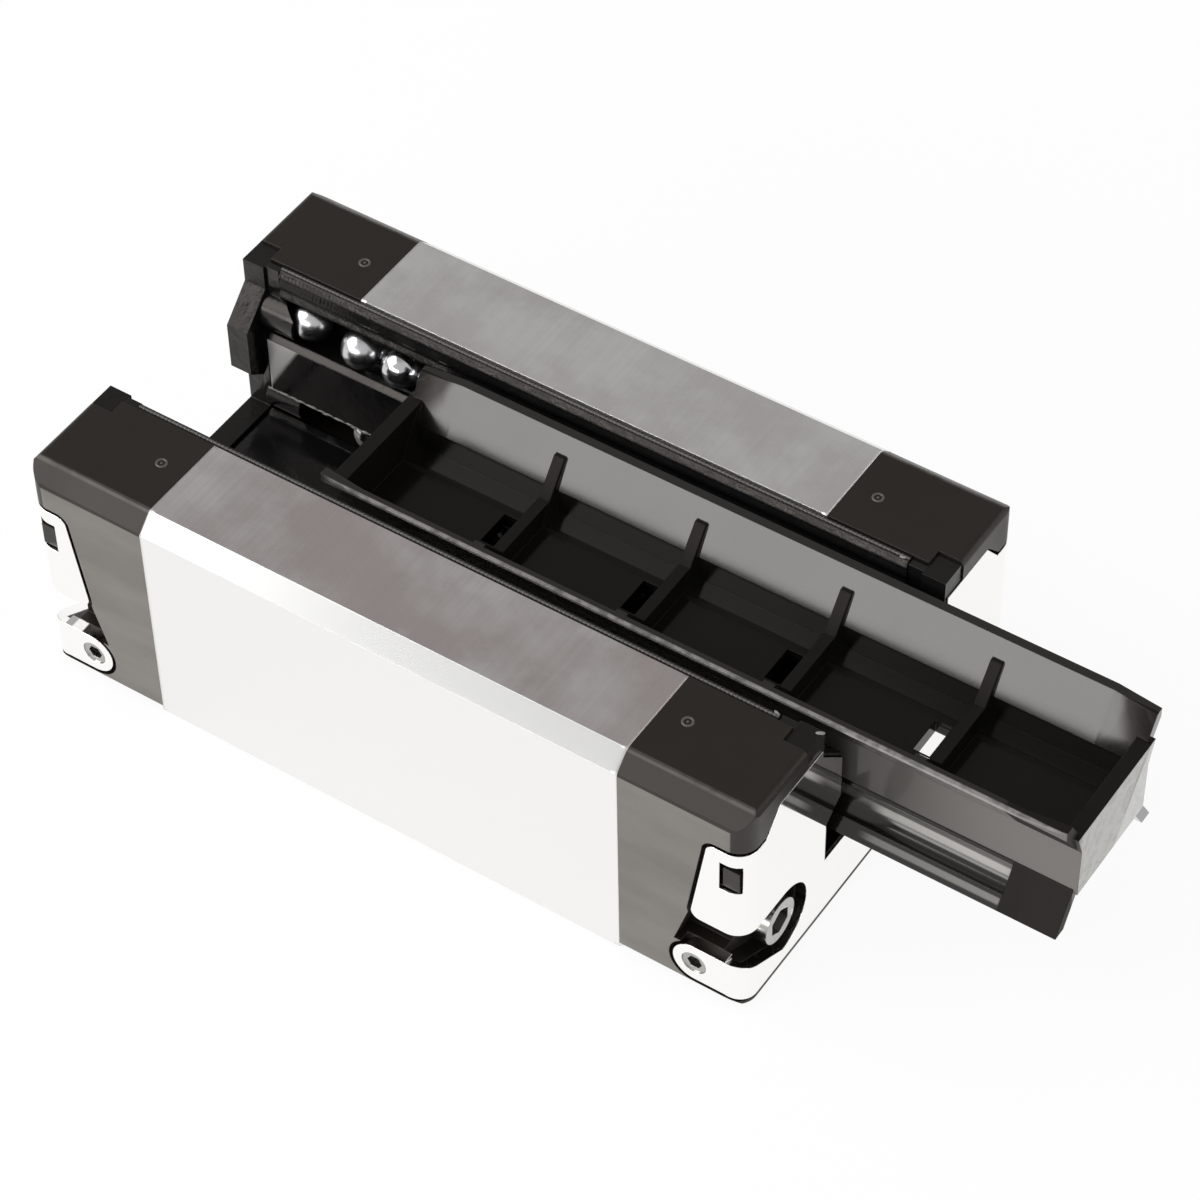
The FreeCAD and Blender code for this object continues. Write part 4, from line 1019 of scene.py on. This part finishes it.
def studio_world(strength, overhead):
    """Room that is pale all round and darker behind and above, and white where the camera sees it."""
    world = bpy.data.worlds.new("studio")
    world.use_nodes = True
    tree = world.node_tree
    room = tree.nodes["Background"]
    coords = tree.nodes.new("ShaderNodeTexCoord")
    behind = dot_node(tree, coords.outputs["Generated"], ROOM_BEHIND)
    tree.links.new(ramp_node(tree, behind, 0.3, 0.75, 1.0, overhead), room.inputs["Color"])
    room.inputs["Strength"].default_value = strength
    white = tree.nodes.new("ShaderNodeBackground")
    white.inputs["Color"].default_value = (1.0, 1.0, 1.0, 1.0)
    path = tree.nodes.new("ShaderNodeLightPath").outputs
    blend(tree, path["Is Camera Ray"], room.outputs["Background"], white.outputs["Background"],
          tree.nodes["World Output"])
    return world


def soft_light(name, place, size, brightness):
    """An even rectangular light aimed at the block."""
    lamp = bpy.data.lights.new(name, "AREA")
    lamp.shape = "RECTANGLE"
    lamp.size, lamp.size_y = size
    lamp.energy = brightness * math.pi * size[0] * size[1]
    light = bpy.data.objects.new(name, lamp)
    light.location = place
    light.rotation_euler = (Vector(LIGHT_TARGET) - light.location).to_track_quat("-Z", "Y").to_euler()
    light.visible_camera = False
    bpy.context.collection.objects.link(light)


def studio_camera(studio):
    """A camera with the place, angles and lens of the studio settings."""
    lens = bpy.data.cameras.new("camera")
    lens.sensor_width = 36.0
    lens.lens = studio.lens_mm
    lens.clip_start = 0.01
    camera = bpy.data.objects.new("camera", lens)
    turn = (Matrix.Rotation(studio.azimuth, 4, "Z")
            @ Matrix.Rotation(math.pi / 2 - studio.elevation, 4, "X")
            @ Matrix.Rotation(studio.roll, 4, "Z"))
    camera.matrix_world = Matrix.Translation(studio.place) @ turn
    bpy.context.collection.objects.link(camera)
    return camera


class RUNNER_OT_stage(bpy.types.Operator):
    """Set up the floor, the lights and the camera"""
    bl_idname = "runner.stage"
    bl_label = "Set Up Studio"

    def execute(self, context):
        scene = context.scene
        studio = scene.runner_studio
        floor = studio_floor(studio.floor_size, floor_material(studio.floor_white))
        scene.world = studio_world(studio.sky, studio.overhead)
        for name, (place, size) in STUDIO_LIGHTS.items():
            soft_light(f"{name} light", place, size, getattr(studio, name))
        scene.camera = studio_camera(studio)
        scene.view_settings.view_transform = "Standard"
        return {"FINISHED"}


class RUNNER_PT_panel(bpy.types.Panel):
    """Sidebar panel of the runner block"""
    bl_idname = "RUNNER_PT_panel"
    bl_label = "Runner Block"
    bl_space_type = "VIEW_3D"
    bl_region_type = "UI"
    bl_category = "Runner Block"

    def draw(self, context):
        for operator in OPERATORS:
            self.layout.operator(operator.bl_idname)
        for group in GROUPS:
            settings = getattr(context.scene, group)
            box = self.layout.box()
            for name in settings.__annotations__:
                box.prop(settings, name)


GROUPS = {"runner_finish": RunnerFinish, "runner_balls": RunnerBalls, "runner_marks": RunnerMarks,
          "runner_studio": RunnerStudio}
OPERATORS = (RUNNER_OT_steel, RUNNER_OT_caps, RUNNER_OT_plates, RUNNER_OT_screws, RUNNER_OT_seals,
             RUNNER_OT_guides, RUNNER_OT_balls, RUNNER_OT_arbor, RUNNER_OT_stage)


def register():
    """Register the classes and hang their settings on the scene."""
    for kind in (*GROUPS.values(), *OPERATORS, RUNNER_PT_panel):
        bpy.utils.register_class(kind)
    for name, kind in GROUPS.items():
        setattr(bpy.types.Scene, name, PointerProperty(type=kind))


def unregister():
    """Take all of it away again."""
    for name in GROUPS:
        delattr(bpy.types.Scene, name)
    for kind in reversed((*GROUPS.values(), *OPERATORS, RUNNER_PT_panel)):
        bpy.utils.unregister_class(kind)


def main():
    """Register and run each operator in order."""
    register()
    for operator in OPERATORS:
        area, name = operator.bl_idname.split(".")
        getattr(getattr(bpy.ops, area), name)()


if __name__ == "__main__":
    main()
